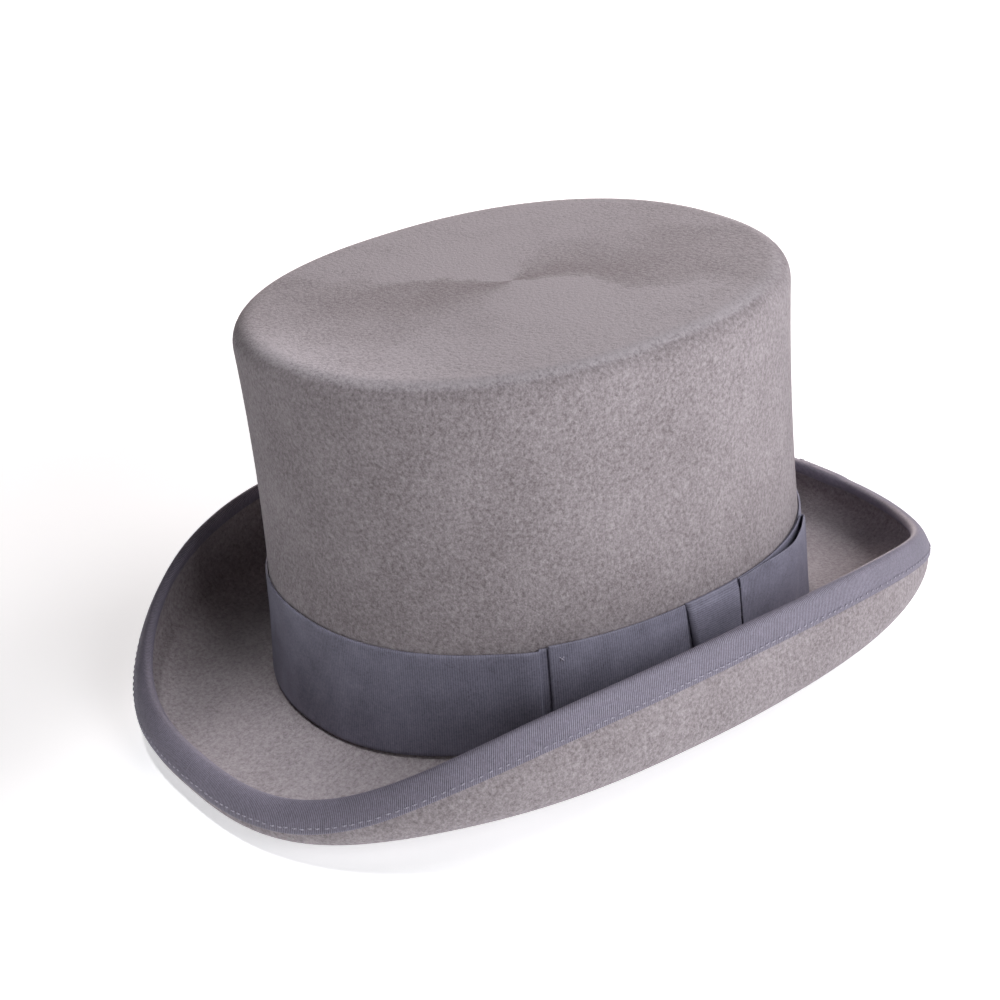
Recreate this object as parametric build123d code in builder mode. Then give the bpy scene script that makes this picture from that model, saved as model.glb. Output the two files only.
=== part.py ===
"""Grey felt top hat, built piece by piece: blocked felt, ribbon band and bow, bound brim, sweatband, lining.

Millimetres. +Z is up and Z = 0 is the level the brim rests on at the front and the back.
The front of the hat faces -Y, the wearer's left, where the bow sits, is +X.
The origin is at the middle of the head opening.
"""

from build123d import *
from math import atan2, cos, dist, hypot, pi, radians, sin, sqrt
import os

# Crown: an oval tube, slightly waisted, with a flat tip
CROWN_HALF_WIDTH = 84.0
CROWN_HALF_LENGTH = 101.5
OVAL_FULLNESS = 2.22  # 2 is a plain ellipse, more is squarer
TIP_HEIGHT = 141.8
TIP_EDGE_RADIUS = 8.0
WAIST_START = 4.9  # height from which the waist is measured
WAIST_SPAN = 137.4
WAIST_WIDTH = (-3.9, 4.3)  # change of half width along the waist, linear and square term
WAIST_LENGTH = (-15.8, 11.9)
CROWN_LEVELS = (15.0, 40.0, 70.0, 100.0, TIP_HEIGHT)
FELT = 2.8
COLLAR_INSET = 0.2  # the brim's collar is a touch thinner than the crown wall it joins
COLLAR_HEIGHT = 12.0
COLLAR_HEEL = 1.0  # inner corner above the root
COLLAR_CORNER = 0.8  # outer corner above the break line
OVAL_POINTS = 32

# Break line, where the crown turns out into the brim: high at the sides
BREAK_HEIGHT = 10.1
BREAK_SWEEP = 3.1
BREAK_TILT = -2.1

# Brim: ridge is the top of its curled edge
RIDGE_HALF_WIDTH = 110.3
RIDGE_HALF_LENGTH = 141.4
RIDGE_FULLNESS = 2.61
RIDGE_SHIFT = -1.05
RIDGE_SKEW = -0.85
RIDGE_HEIGHT = 33.6
RIDGE_SWEEP = 16.7
RIDGE_RIPPLE = (-0.4, -0.9)  # fourth and sixth harmonics of the rise
RIDGE_TILT = 0.4
RIDGE_TWIST = -1.4

# Underside curve of the brim: slopes in degrees and handle lengths as shares of the chord,
# each with its plain, twofold, sine and fourfold terms round the oval
DROP_ANGLE = (8.1, -3.8, -4.3, 0.0)
CURL_ANGLE = (134.8, -48.4, 1.2, -0.4)
ROOT_HANDLE = (1.137, -0.308, -0.048, 0.0)
CURL_HANDLE = (0.349, 0.225, 0.0, 0.121)
ROOT_INSET = 1.0

# Ribbons
RIBBON = 0.7
GAP = 0.3  # clearance between neighbouring pieces
BAND_TOP = 47.9
BAND_TILT = -2.1
BAND_LIFT = 1.4  # lower edge of the band above the break line
BINDING_DEPTH = 12.0
BINDING_SET_BACK = 2.0  # felt edge short of the ridge, to leave room for the fold
BINDING_GAP = 0.4  # clearance between the binding and the felt in its fold
STITCH_DEPTH = 10.2  # of the binding's row of stitches, down from the ridge
STITCH_LIFT = 0.7  # clearance of the binding's stitches, over the swell of its loft

# Bow on the wearer's left: Y of each edge of its pieces
WING_FRONT = (-52.2, -3.0)
KNOT = (-1.6, 23.0)
WING_REAR = (24.0, 72.0)
WING_THICKNESS = 1.9
KNOT_THICKNESS = 2.6
KNOT_PROUD = 0.8  # of the band's edges, above and below

# Inside
SWEATBAND = 1.1
SWEATBAND_HEIGHT = 54.0
REED_RADIUS = 0.9
REED_RISE = 1.6  # centre of the reed above the root of the brim
LINING = 0.5
LINING_START = 7.0
LINING_TOP = 130.0
LINING_LEAN = (2.6, 5.6)  # inward and up, under the tip's rounded edge
TIP_LINING_INSET = 8.4
PIPING_RADIUS = 0.6
PIPING_CENTRE = (-6.9, 136.9)  # outward from the crown wall, and height

# Stitches: length, width and thickness
BINDING_STITCH = (2.1, 0.6, 0.35)
BINDING_STITCH_PITCH = 3.0
SWEATBAND_STITCH = (2.6, 0.5, 0.35)
SWEATBAND_STITCH_PITCH = 4.5
SWEATBAND_STITCH_RISE = 3.0
SMALL_STITCH = (1.6, 0.4, 0.35)
TACK_STITCH = (2.4, 0.5, 0.35)
TACK_PLACE = (2.7, -4.0)  # back from the wing's end, up from the band's top
KNOT_STITCH_COUNT = 9
KNOT_STITCH_MARGIN = 3.0
SEAM_STITCH_COUNT = 8
SEAM_STITCH_SPAN = (28.0, 60.0)  # heights
JOIN_STITCH_COUNT = 5
JOIN_STITCH_SPAN = 7.5
JOIN_STITCH_DEPTH = 3.5  # of the first, down from the ridge

# Small bow that covers the foot of the sweatband's seam
REAR_BOW_WIDTH = 20.0
REAR_BOW_HEIGHT = 7.0
REAR_BOW_WAIST = 2.4
REAR_BOW_THICKNESS = 1.2
REAR_BOW_RISE = 22.0
REAR_BOW_CLEARANCE = 1.2
REAR_BOW_KNOT = (4.0, 5.0, 2.0)

# Cross-sections used to loft each kind of piece
BRIM_STATIONS = 17
WALL_STATIONS = 13
BOW_STATIONS = 5
CORD_SIDES = 8
RING_SAMPLES = 720
CURVE_STEPS = 200


def signed_power(value, exponent):
    """Power of the size of a number, with its sign kept."""
    return abs(value) ** exponent * (1 if value >= 0 else -1)


def oval(angle, half_width, half_length, fullness=OVAL_FULLNESS):
    """Point of a squared-up oval at a parameter angle in radians."""
    x = half_width * signed_power(cos(angle), 2 / fullness)
    y = half_length * signed_power(sin(angle), 2 / fullness)
    return x, y


def even_angle(share, half_width, half_length, fullness):
    """Parameter angle of the point a share of a half turn round, front to back by the +X side."""
    seen = pi * (share - 0.5)
    x = signed_power(cos(seen) / half_width, fullness / 2)
    y = signed_power(sin(seen) / half_length, fullness / 2)
    return atan2(y, x)


def crown_half_sizes(height):
    """Outside half width and half length of the crown at a height."""
    share = (height - WAIST_START) / WAIST_SPAN
    width = CROWN_HALF_WIDTH + WAIST_WIDTH[0] * share + WAIST_WIDTH[1] * share**2
    length = CROWN_HALF_LENGTH + WAIST_LENGTH[0] * share + WAIST_LENGTH[1] * share**2
    return width, length


def break_height(angle):
    """Height of the brim's upper face where it meets the crown."""
    return BREAK_HEIGHT + BREAK_SWEEP * cos(2 * angle) + BREAK_TILT * sin(angle)


def band_top_height(angle):
    """Height of the band's upper edge."""
    return BAND_TOP + BAND_TILT * sin(angle)


class Station:
    """Upright section plane: local x runs outward, local y is height."""

    def plane(self):
        x, y = self.out
        return Plane(origin=(self.x, self.y, 0), x_dir=(x, y, 0), z_dir=(y, -x, 0))

    def at(self, u, z):
        """Point in space of a place in the section."""
        return self.x + self.out[0] * u, self.y + self.out[1] * u, z

    def wall(self, height, inset=0.0):
        """Outward position of the crown wall at a height, an inset inside its outer face."""
        width, length = crown_half_sizes(height)
        x, y = oval(self.angle, width - inset, length - inset)
        return (x - self.x) * self.out[0] + (y - self.y) * self.out[1]


class WallStation(Station):
    """Section square to the crown at one parameter angle."""

    def __init__(self, angle):
        self.angle = angle
        self.x, self.y = oval(angle, *crown_half_sizes(0))
        slope_x = signed_power(self.x / CROWN_HALF_WIDTH, OVAL_FULLNESS - 1) / CROWN_HALF_WIDTH
        slope_y = signed_power(self.y / CROWN_HALF_LENGTH, OVAL_FULLNESS - 1) / CROWN_HALF_LENGTH
        size = hypot(slope_x, slope_y)
        self.out = (slope_x / size, slope_y / size)


class BrimStation(Station):
    """Section of the brim at one parameter angle."""

    def __init__(self, angle):
        self.angle = angle
        self.x, self.y = oval(angle, CROWN_HALF_WIDTH - ROOT_INSET, CROWN_HALF_LENGTH - ROOT_INSET)
        ridge_x = RIDGE_HALF_WIDTH + RIDGE_SKEW * sin(angle)
        end_x, end_y = oval(angle, ridge_x, RIDGE_HALF_LENGTH, RIDGE_FULLNESS)
        reach_x = end_x - self.x
        reach_y = end_y + RIDGE_SHIFT - self.y
        self.reach = hypot(reach_x, reach_y)
        self.out = (reach_x / self.reach, reach_y / self.reach)
        self.root = break_height(angle) - FELT
        self.rise = self.ridge_height() - self.root

    def ridge_height(self):
        """Height of the curled edge's top line."""
        ripple = RIDGE_RIPPLE[0] * cos(4 * self.angle) + RIDGE_RIPPLE[1] * cos(6 * self.angle)
        lean = RIDGE_TILT * sin(self.angle) + RIDGE_TWIST * sin(3 * self.angle)
        return RIDGE_HEIGHT + RIDGE_SWEEP * cos(2 * self.angle) + ripple + lean

    def around(self, terms):
        """A quantity that varies round the oval."""
        a = self.angle
        return terms[0] + terms[1] * cos(2 * a) + terms[2] * sin(a) + terms[3] * cos(4 * a)

    def handles(self):
        """The four control points of the underside curve."""
        chord = hypot(self.reach, self.rise)
        drop = radians(self.around(DROP_ANGLE))
        curl = radians(self.around(CURL_ANGLE))
        first = self.around(ROOT_HANDLE) * chord
        last = self.around(CURL_HANDLE) * chord
        return (
            (0.0, self.root),
            (first * cos(drop), self.root - first * sin(drop)),
            (self.reach - last * cos(curl), self.root + self.rise - last * sin(curl)),
            (self.reach, self.root + self.rise),
        )

    def point(self, share, offset=0.0):
        """Point of the underside curve, moved by an offset towards the upper side."""
        p = self.handles()
        r = 1 - share
        weights = (r**3, 3 * r * r * share, 3 * r * share**2, share**3)
        slopes = (-3 * r * r, 3 * r * r - 6 * r * share, 6 * r * share - 3 * share**2, 3 * share**2)
        u = sum(w * q[0] for w, q in zip(weights, p))
        z = sum(w * q[1] for w, q in zip(weights, p))
        du = sum(w * q[0] for w, q in zip(slopes, p))
        dz = sum(w * q[1] for w, q in zip(slopes, p))
        size = hypot(du, dz)
        return u - offset * dz / size, z + offset * du / size

    def share_at(self, depth):
        """Share of the curve that lies a given length short of the ridge."""
        length = 0.0
        last = self.point(1.0)
        for k in range(CURVE_STEPS - 1, -1, -1):
            now = self.point(k / CURVE_STEPS)
            length += hypot(now[0] - last[0], now[1] - last[1])
            last = now
            if length >= depth:
                return k / CURVE_STEPS
        return 0.0


def half_ring(kind, count, sizes):
    """Stations over the +X half, front to back, and one beyond it at each end."""
    return [kind(even_angle(k / (count - 1), *sizes)) for k in range(-1, count + 1)]


def wall_stations():
    return half_ring(WallStation, WALL_STATIONS, (CROWN_HALF_WIDTH, CROWN_HALF_LENGTH, OVAL_FULLNESS))


def brim_stations():
    return half_ring(BrimStation, BRIM_STATIONS, (RIDGE_HALF_WIDTH, RIDGE_HALF_LENGTH, RIDGE_FULLNESS))


def section_lines(outline):
    """Draw a closed outline given as a list of sides, each a list of points up to the next side."""
    for k, side in enumerate(outline):
        points = side + [outline[(k + 1) % len(outline)][0]]
        if len(points) == 2:
            Line(*points)
        else:
            Spline(*points)


def run_of(stations, sides, label, whole=True):
    """Loft outlines along stations; a whole ring also gets the mirror of the +X half."""
    with BuildPart() as run:
        for place in stations:
            with BuildSketch(place.plane()):
                with BuildLine():
                    section_lines(sides(place))
                make_face()
        loft()
        if whole:
            split(bisect_by=Plane.YZ)
            mirror(about=Plane.YZ)
    run.part.label = label
    return run.part


def wall_box(inner, outer, bottom, top):
    """Four-sided outline that follows the crown wall; inner and outer are measured out from it."""

    def sides(place):
        low = bottom(place.angle)
        high = top(place.angle)
        return [
            [(place.wall(low) + inner, low)],
            [(place.wall(low) + outer, low)],
            [(place.wall(high) + outer, high)],
            [(place.wall(high) + inner, high)],
        ]

    return sides


# ---- Felt: crown, tip and brim blocked from one hood ----
def crown_solid(inset):
    """Solid of the crown's outside shape, smaller by an inset all over."""
    top = TIP_HEIGHT - inset
    with BuildPart() as crown:
        for height in (*CROWN_LEVELS[:-1], top):
            width, length = crown_half_sizes(height)
            turns = [2 * pi * (k + 0.5) / OVAL_POINTS for k in range(OVAL_POINTS)]
            with BuildSketch(Plane.XY.offset(height)):
                with BuildLine():
                    Spline(*[oval(a, width - inset, length - inset) for a in turns], periodic=True)
                make_face()
        loft()
        fillet(crown.faces().sort_by(Axis.Z)[-1].edges(), TIP_EDGE_RADIUS - inset)
    return crown.part


def brim_outline(place):
    """Section of the brim with the collar that goes up inside the crown wall."""
    heel = place.root + COLLAR_HEEL
    corner = place.root + FELT + COLLAR_CORNER
    top = place.root + FELT + COLLAR_HEIGHT
    thin_in = FELT - COLLAR_INSET
    edge = place.share_at(BINDING_SET_BACK)
    under = [place.point(edge * k / 7) for k in range(7)]
    upper = [place.point(edge * (7 - k) / 7, FELT) for k in range(7)]
    return [
        [(place.wall(heel, thin_in), heel)],
        under,
        [place.point(edge)],
        upper,
        [(place.wall(corner, COLLAR_INSET), corner)],
        [(place.wall(top, COLLAR_INSET), top)],
        [(place.wall(top, thin_in), top)],
    ]


def build_felt_body():
    brim = run_of(brim_stations(), brim_outline, "brim")
    with BuildPart() as felt:
        add(crown_solid(0.0))
        add(crown_solid(FELT), mode=Mode.SUBTRACT)
        add(brim)
    felt.part.label = "felt_body"
    return felt.part


# ---- Ribbon round the foot of the crown ----
def band_bottom_height(angle):
    """Height of the band's lower edge."""
    return break_height(angle) + BAND_LIFT


def build_hat_band():
    sides = wall_box(GAP, GAP + RIBBON, band_bottom_height, band_top_height)
    return run_of(wall_stations(), sides, "hat_band")


# ---- Flat bow on the wearer's left ----
def side_station(y):
    """Wall station on the +X side at a Y position."""
    share = signed_power(y / CROWN_HALF_LENGTH, OVAL_FULLNESS / 2)
    return WallStation(atan2(share, sqrt(1 - share**2)))


def build_bow_piece(label, span, thickness, proud):
    """A flat folded piece of ribbon lying on the band between two Y positions."""
    steps = BOW_STATIONS - 1
    places = [side_station(span[0] + (span[1] - span[0]) * k / steps) for k in range(BOW_STATIONS)]
    inner = 2 * GAP + RIBBON

    def top(angle):
        return band_top_height(angle) + proud

    def bottom(angle):
        return band_bottom_height(angle) - proud

    sides = wall_box(inner, inner + thickness, bottom, top)
    return run_of(places, sides, label, whole=False)


def upright_on_wall(y, height, outward):
    """Plane for a stitch on the crown's +X side: its length upright, its normal outward."""
    place = side_station(y)
    origin = place.at(place.wall(height) + outward, height)
    return Plane(origin=origin, x_dir=(0, 0, 1), z_dir=(place.out[0], place.out[1], 0))


def build_wing_tack():
    """Small crossed tack that holds the front wing's end to the band."""
    outward = 3 * GAP + RIBBON + WING_THICKNESS + TACK_STITCH[2] / 2
    spot = upright_on_wall(WING_FRONT[0] + TACK_PLACE[0], BAND_TOP + TACK_PLACE[1], outward)
    with BuildPart(spot) as tack:
        for turn in (45, -45):
            Box(*TACK_STITCH, rotation=(0, 0, turn))
    tack.part.label = "bow_wing_tack"
    return tack.part


def build_knot_stitches():
    """Upright row of stitches that closes the knot along its rear edge."""
    outward = 3 * GAP + RIBBON + KNOT_THICKNESS + SMALL_STITCH[2] / 2
    low = BREAK_HEIGHT + BREAK_SWEEP + BAND_LIFT + KNOT_STITCH_MARGIN
    pitch = (BAND_TOP - KNOT_STITCH_MARGIN - low) / (KNOT_STITCH_COUNT - 1)
    rows = [upright_on_wall(KNOT[1] - 1.0, low + pitch * k, outward) for k in range(KNOT_STITCH_COUNT)]
    return stitch_group(rows, SMALL_STITCH, "bow_knot_stitches")


# ---- Rows of separate stitches ----
def stitch_group(places, size, label):
    """One small bar of thread at each plane."""
    with BuildPart() as group:
        with Locations(*places):
            Box(*size)
    group.part.label = label
    return group.part


def even_planes(place_of, pitch, start=-pi, turn=2 * pi):
    """Planes evenly spaced along a curve round the hat.

    place_of(angle) gives a point and its outward normal.
    """
    angles = [start + turn * k / RING_SAMPLES for k in range(RING_SAMPLES + 1)]
    points = [place_of(a)[0] for a in angles]
    steps = [dist(p, q) for p, q in zip(points, points[1:])]
    count = max(1, round(sum(steps) / pitch))
    planes = []
    travelled = 0.0
    for k, step in enumerate(steps):
        if travelled + step > (len(planes) + 0.5) * sum(steps) / count:
            along = Vector(*points[k + 1]) - Vector(*points[k])
            normal = Vector(*place_of(angles[k])[1])
            square = normal - along * (normal.dot(along) / along.dot(along))
            planes.append(Plane(origin=points[k], x_dir=along, z_dir=square))
        travelled += step
    return planes


# ---- Binding folded over the brim's edge ----
def binding_outline(place):
    """Folded ribbon: outside leg, fold over the felt's edge, inside leg."""
    start = place.share_at(BINDING_DEPTH)
    edge = place.share_at(BINDING_SET_BACK)
    shares = [start + (edge - start) * k / 4 for k in range(5)]
    back = shares[:0:-1]
    far = BINDING_GAP + RIBBON
    tip_u, tip_z = place.point(edge, FELT / 2)
    tail_u, tail_z = place.point(edge - 0.01, FELT / 2)
    size = hypot(tip_u - tail_u, tip_z - tail_z)
    ahead_u, ahead_z = (tip_u - tail_u) / size, (tip_z - tail_z) / size
    fold = FELT / 2 + far
    crest = (tip_u + ahead_u * fold, tip_z + ahead_z * fold)
    trough = (tip_u + ahead_u * (fold - RIBBON), tip_z + ahead_z * (fold - RIBBON))
    outside = [place.point(s, -far) for s in shares]
    inside = [place.point(s, FELT + BINDING_GAP) for s in shares]
    return [
        outside + [crest] + [place.point(s, FELT + far) for s in back],
        [place.point(start, FELT + far)],
        inside + [trough] + [place.point(s, -BINDING_GAP) for s in back],
        [place.point(start, -BINDING_GAP)],
    ]


def build_brim_binding():
    return run_of(brim_stations(), binding_outline, "brim_binding")


def on_binding(depth, thickness):
    """Function giving the point and normal on the binding's outside leg at an angle."""
    lift = BINDING_GAP + RIBBON + STITCH_LIFT + thickness / 2

    def place_of(angle):
        place = BrimStation(angle)
        share = place.share_at(depth)
        under = place.at(*place.point(share, -lift))
        felt = place.at(*place.point(share))
        return under, tuple(p - q for p, q in zip(under, felt))

    return place_of


def build_binding_stitches():
    planes = even_planes(on_binding(STITCH_DEPTH, BINDING_STITCH[2]), BINDING_STITCH_PITCH)
    return stitch_group(planes, BINDING_STITCH, "binding_stitches")


def build_join_stitches():
    """Hand stitches that close the binding's lapped ends at the back."""
    pitch = JOIN_STITCH_SPAN / JOIN_STITCH_COUNT
    rows = []
    for k in range(JOIN_STITCH_COUNT):
        point, normal = on_binding(JOIN_STITCH_DEPTH + pitch * k, SMALL_STITCH[2])(pi / 2)
        rows.append(Plane(origin=point, x_dir=(1, 0, 0), z_dir=normal))
    return stitch_group(rows, SMALL_STITCH, "binding_join_stitches")


# ---- Leather sweatband and its reed ----
def root_height(angle):
    """Height of the brim's underside where it meets the crown."""
    return break_height(angle) - FELT


def sweatband_bottom(angle):
    return root_height(angle) + REED_RISE + REED_RADIUS + GAP


def sweatband_top(angle):
    return sweatband_bottom(angle) + SWEATBAND_HEIGHT


def sweatband_outer():
    """Outward position of the leather's outer face."""
    return -FELT - 2 * GAP - LINING


def build_sweatband():
    outer = sweatband_outer()
    sides = wall_box(outer - SWEATBAND, outer, sweatband_bottom, sweatband_top)
    return run_of(wall_stations(), sides, "sweatband")


def cord_outline(centre, radius):
    """Section of a thin cord; centre(place) gives the middle of it in the section."""

    def sides(place):
        u, z = centre(place)
        turns = [2 * pi * k / CORD_SIDES for k in range(CORD_SIDES)]
        return [[(u + radius * cos(t), z + radius * sin(t))] for t in turns]

    return sides


def build_sweatband_reed():
    def centre(place):
        z = root_height(place.angle) + REED_RISE
        return place.wall(z) + sweatband_outer() - SWEATBAND / 2, z

    return run_of(wall_stations(), cord_outline(centre, REED_RADIUS), "sweatband_reed")


def on_sweatband(thickness):
    """Function giving the point and inward normal on the leather's inner face at an angle."""

    def place_of(angle):
        place = WallStation(angle)
        z = sweatband_bottom(angle) + SWEATBAND_STITCH_RISE
        u = place.wall(z) + sweatband_outer() - SWEATBAND - GAP - thickness / 2
        return place.at(u, z), (-place.out[0], -place.out[1], 0)

    return place_of


def build_sweatband_stitches():
    planes = even_planes(on_sweatband(SWEATBAND_STITCH[2]), SWEATBAND_STITCH_PITCH)
    return stitch_group(planes, SWEATBAND_STITCH, "sweatband_stitches")


def rear_face(height):
    """Y of the leather's inner face at the middle of the back."""
    place = WallStation(pi / 2)
    return place.y + place.wall(height) + sweatband_outer() - SWEATBAND


def build_seam_stitches():
    """Cross stitches that close the sweatband's seam at the back."""
    low, high = SEAM_STITCH_SPAN
    rows = []
    for k in range(SEAM_STITCH_COUNT):
        z = low + (high - low) * k / (SEAM_STITCH_COUNT - 1)
        y = rear_face(z) - GAP - SMALL_STITCH[2] / 2
        rows.append(Plane(origin=(0, y, z), x_dir=(1, 0, 0), z_dir=(0, -1, 0)))
    return stitch_group(rows, SMALL_STITCH, "sweatband_seam_stitches")


def build_rear_bow():
    """Small flat bow over the foot of the sweatband's seam."""
    y = rear_face(REAR_BOW_RISE) - REAR_BOW_CLEARANCE
    half, tall, waist = REAR_BOW_WIDTH / 2, REAR_BOW_HEIGHT / 2, REAR_BOW_WAIST / 2
    corners = [(-half, -tall), (0, -waist), (half, -tall), (half, tall), (0, waist), (-half, tall)]
    with BuildPart() as bow:
        with BuildSketch(Plane(origin=(0, y, REAR_BOW_RISE), x_dir=(1, 0, 0), z_dir=(0, -1, 0))):
            Polygon(*corners, align=None)
        extrude(amount=REAR_BOW_THICKNESS)
        with Locations((0, y - REAR_BOW_KNOT[2] / 2, REAR_BOW_RISE)):
            Box(REAR_BOW_KNOT[0], REAR_BOW_KNOT[2], REAR_BOW_KNOT[1])
    bow.part.label = "sweatband_rear_bow"
    return bow.part


# ---- Satin lining ----
def lining_outline(place):
    """Strip of satin up the wall, leaning in under the tip's rounded edge."""
    low = root_height(place.angle) + LINING_START
    outer = -FELT - GAP
    top = LINING_TOP + LINING_LEAN[1]
    foot = place.wall(low) + outer
    bend = place.wall(LINING_TOP) + outer
    head = place.wall(top) + outer - LINING_LEAN[0]
    return [
        [(foot, low)],
        [(bend, LINING_TOP)],
        [(head, top)],
        [(head - LINING, top)],
        [(bend - LINING, LINING_TOP)],
        [(foot - LINING, low)],
    ]


def build_lining_side():
    return run_of(wall_stations(), lining_outline, "lining_side")


def build_lining_piping():
    def centre(place):
        return place.wall(PIPING_CENTRE[1]) + PIPING_CENTRE[0], PIPING_CENTRE[1]

    return run_of(wall_stations(), cord_outline(centre, PIPING_RADIUS), "lining_piping")


def build_lining_tip():
    top = TIP_HEIGHT - FELT - GAP
    width, length = crown_half_sizes(top)
    turns = [2 * pi * (k + 0.5) / OVAL_POINTS for k in range(OVAL_POINTS)]
    with BuildPart() as tip:
        with BuildSketch(Plane.XY.offset(top)):
            with BuildLine():
                Spline(*[oval(a, width - TIP_LINING_INSET, length - TIP_LINING_INSET) for a in turns], periodic=True)
            make_face()
        extrude(amount=-LINING)
    tip.part.label = "lining_tip"
    return tip.part


def main():
    pieces = [
        build_felt_body(),
        build_hat_band(),
        build_bow_piece("bow_front_wing", WING_FRONT, WING_THICKNESS, 0.0),
        build_bow_piece("bow_rear_wing", WING_REAR, WING_THICKNESS, 0.0),
        build_bow_piece("bow_knot", KNOT, KNOT_THICKNESS, KNOT_PROUD),
        build_wing_tack(),
        build_knot_stitches(),
        build_brim_binding(),
        build_binding_stitches(),
        build_join_stitches(),
        build_sweatband(),
        build_sweatband_reed(),
        build_sweatband_stitches(),
        build_seam_stitches(),
        build_rear_bow(),
        build_lining_side(),
        build_lining_piping(),
        build_lining_tip(),
    ]
    os.makedirs("parts", exist_ok=True)
    for piece in pieces:
        export_step(piece, f"parts/{piece.label}.step")


if __name__ == "__main__":
    main()
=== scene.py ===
"""Looks of a grey felt top hat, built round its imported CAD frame.

Metres, +Z up, the front of the hat faces -Y and its bow is on the +X side. Sizes in the classes
are in millimetres, as a hatter would give them, and turn to metres where a mesh is made.
"""

import logging
import math
from dataclasses import dataclass, field
from enum import Enum
from typing import Callable

import bmesh
import bpy
import numpy as np
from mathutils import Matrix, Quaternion, Vector

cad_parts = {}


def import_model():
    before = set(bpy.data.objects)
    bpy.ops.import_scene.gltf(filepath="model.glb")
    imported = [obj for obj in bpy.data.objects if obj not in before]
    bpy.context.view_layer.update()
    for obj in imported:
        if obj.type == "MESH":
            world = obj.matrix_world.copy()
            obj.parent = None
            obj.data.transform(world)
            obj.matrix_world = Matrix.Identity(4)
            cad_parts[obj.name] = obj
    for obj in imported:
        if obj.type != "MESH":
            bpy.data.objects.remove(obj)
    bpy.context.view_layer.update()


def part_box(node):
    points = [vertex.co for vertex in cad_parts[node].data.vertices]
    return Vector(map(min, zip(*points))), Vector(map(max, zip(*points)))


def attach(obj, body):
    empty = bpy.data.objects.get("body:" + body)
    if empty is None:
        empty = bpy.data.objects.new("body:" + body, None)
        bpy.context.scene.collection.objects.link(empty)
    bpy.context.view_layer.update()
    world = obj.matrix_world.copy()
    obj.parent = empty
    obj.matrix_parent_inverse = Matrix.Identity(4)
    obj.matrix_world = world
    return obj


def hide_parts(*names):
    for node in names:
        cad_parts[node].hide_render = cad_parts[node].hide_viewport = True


log = logging.getLogger("top_hat")

MM = 0.001
BODY = "root"
Array = np.ndarray
Tree = bpy.types.NodeTree
Socket = bpy.types.NodeSocket


# ---------------------------------------------------------------- shape of the hat


def signed_power(value: Array, exponent: float) -> Array:
    """Power of the size of each value, with its sign kept."""
    return np.sign(value) * np.abs(value) ** exponent


def unit(vectors: Array) -> Array:
    """Vectors along the last axis, each brought to a length of 1."""
    return vectors / np.linalg.norm(vectors, axis=-1, keepdims=True)


def smooth_step(value: Array, low: float, high: float) -> Array:
    """Ease from 0 at low to 1 at high."""
    share = np.clip((np.asarray(value, float) - low) / (high - low), 0.0, 1.0)
    return share * share * (3.0 - 2.0 * share)


def bend(start: Array, corner: Array, end: Array) -> list[Array]:
    """Three rows of points that round a corner between two rows."""
    shares = (0.25, 0.5, 0.75)
    return [(1 - s) ** 2 * start + 2 * s * (1 - s) * corner + s * s * end for s in shares]


@dataclass(frozen=True)
class Oval:
    """A squared-up oval, wider than it is round where fullness is above 2."""

    fullness: float

    def point(self, angle: Array, half_width: Array, half_length: Array) -> Array:
        """Points of the oval.

        Args:
            angle: Parameter angles, 0 at the wearer's left and a quarter turn at the back.
            half_width: Half width along X.
            half_length: Half length along Y.

        Returns:
            Array of (x, y), one row per angle.
        """
        x = half_width * signed_power(np.cos(angle), 2 / self.fullness)
        y = half_length * signed_power(np.sin(angle), 2 / self.fullness)
        return np.stack([x, y], axis=-1)

    def even_angles(self, count: int, half_width: float, half_length: float) -> Array:
        """Parameter angles of points evenly spaced round the oval.

        Args:
            count: Number of points in the whole turn.
            half_width: Half width of the oval the spacing is measured on.
            half_length: Half length of that oval.

        Returns:
            Angles from the front round by the +X side.
        """
        fine = np.linspace(-math.pi / 2, 3 * math.pi / 2, 20001)
        seen_x = signed_power(np.cos(fine) / half_width, self.fullness / 2)
        seen_y = signed_power(np.sin(fine) / half_length, self.fullness / 2)
        angle = np.unwrap(np.arctan2(seen_y, seen_x))
        place = self.point(angle, half_width, half_length)
        step = np.linalg.norm(np.diff(place, axis=0), axis=1)
        run = np.concatenate([[0.0], np.cumsum(step)])
        wanted = np.linspace(0.0, run[-1], count, endpoint=False)
        return np.interp(wanted, run, angle)


@dataclass(frozen=True)
class Wave:
    """A quantity that varies round the hat by harmonics of the parameter angle."""

    plain: float
    twofold: float = 0.0
    sine: float = 0.0
    fourfold: float = 0.0
    sixfold: float = 0.0
    threefold_sine: float = 0.0

    def at(self, angle: Array) -> Array:
        """Value at each angle.

        Args:
            angle: Parameter angles.

        Returns:
            The values.
        """
        return (
            self.plain
            + self.twofold * np.cos(2 * angle)
            + self.sine * np.sin(angle)
            + self.fourfold * np.cos(4 * angle)
            + self.sixfold * np.cos(6 * angle)
            + self.threefold_sine * np.sin(3 * angle)
        )


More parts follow.
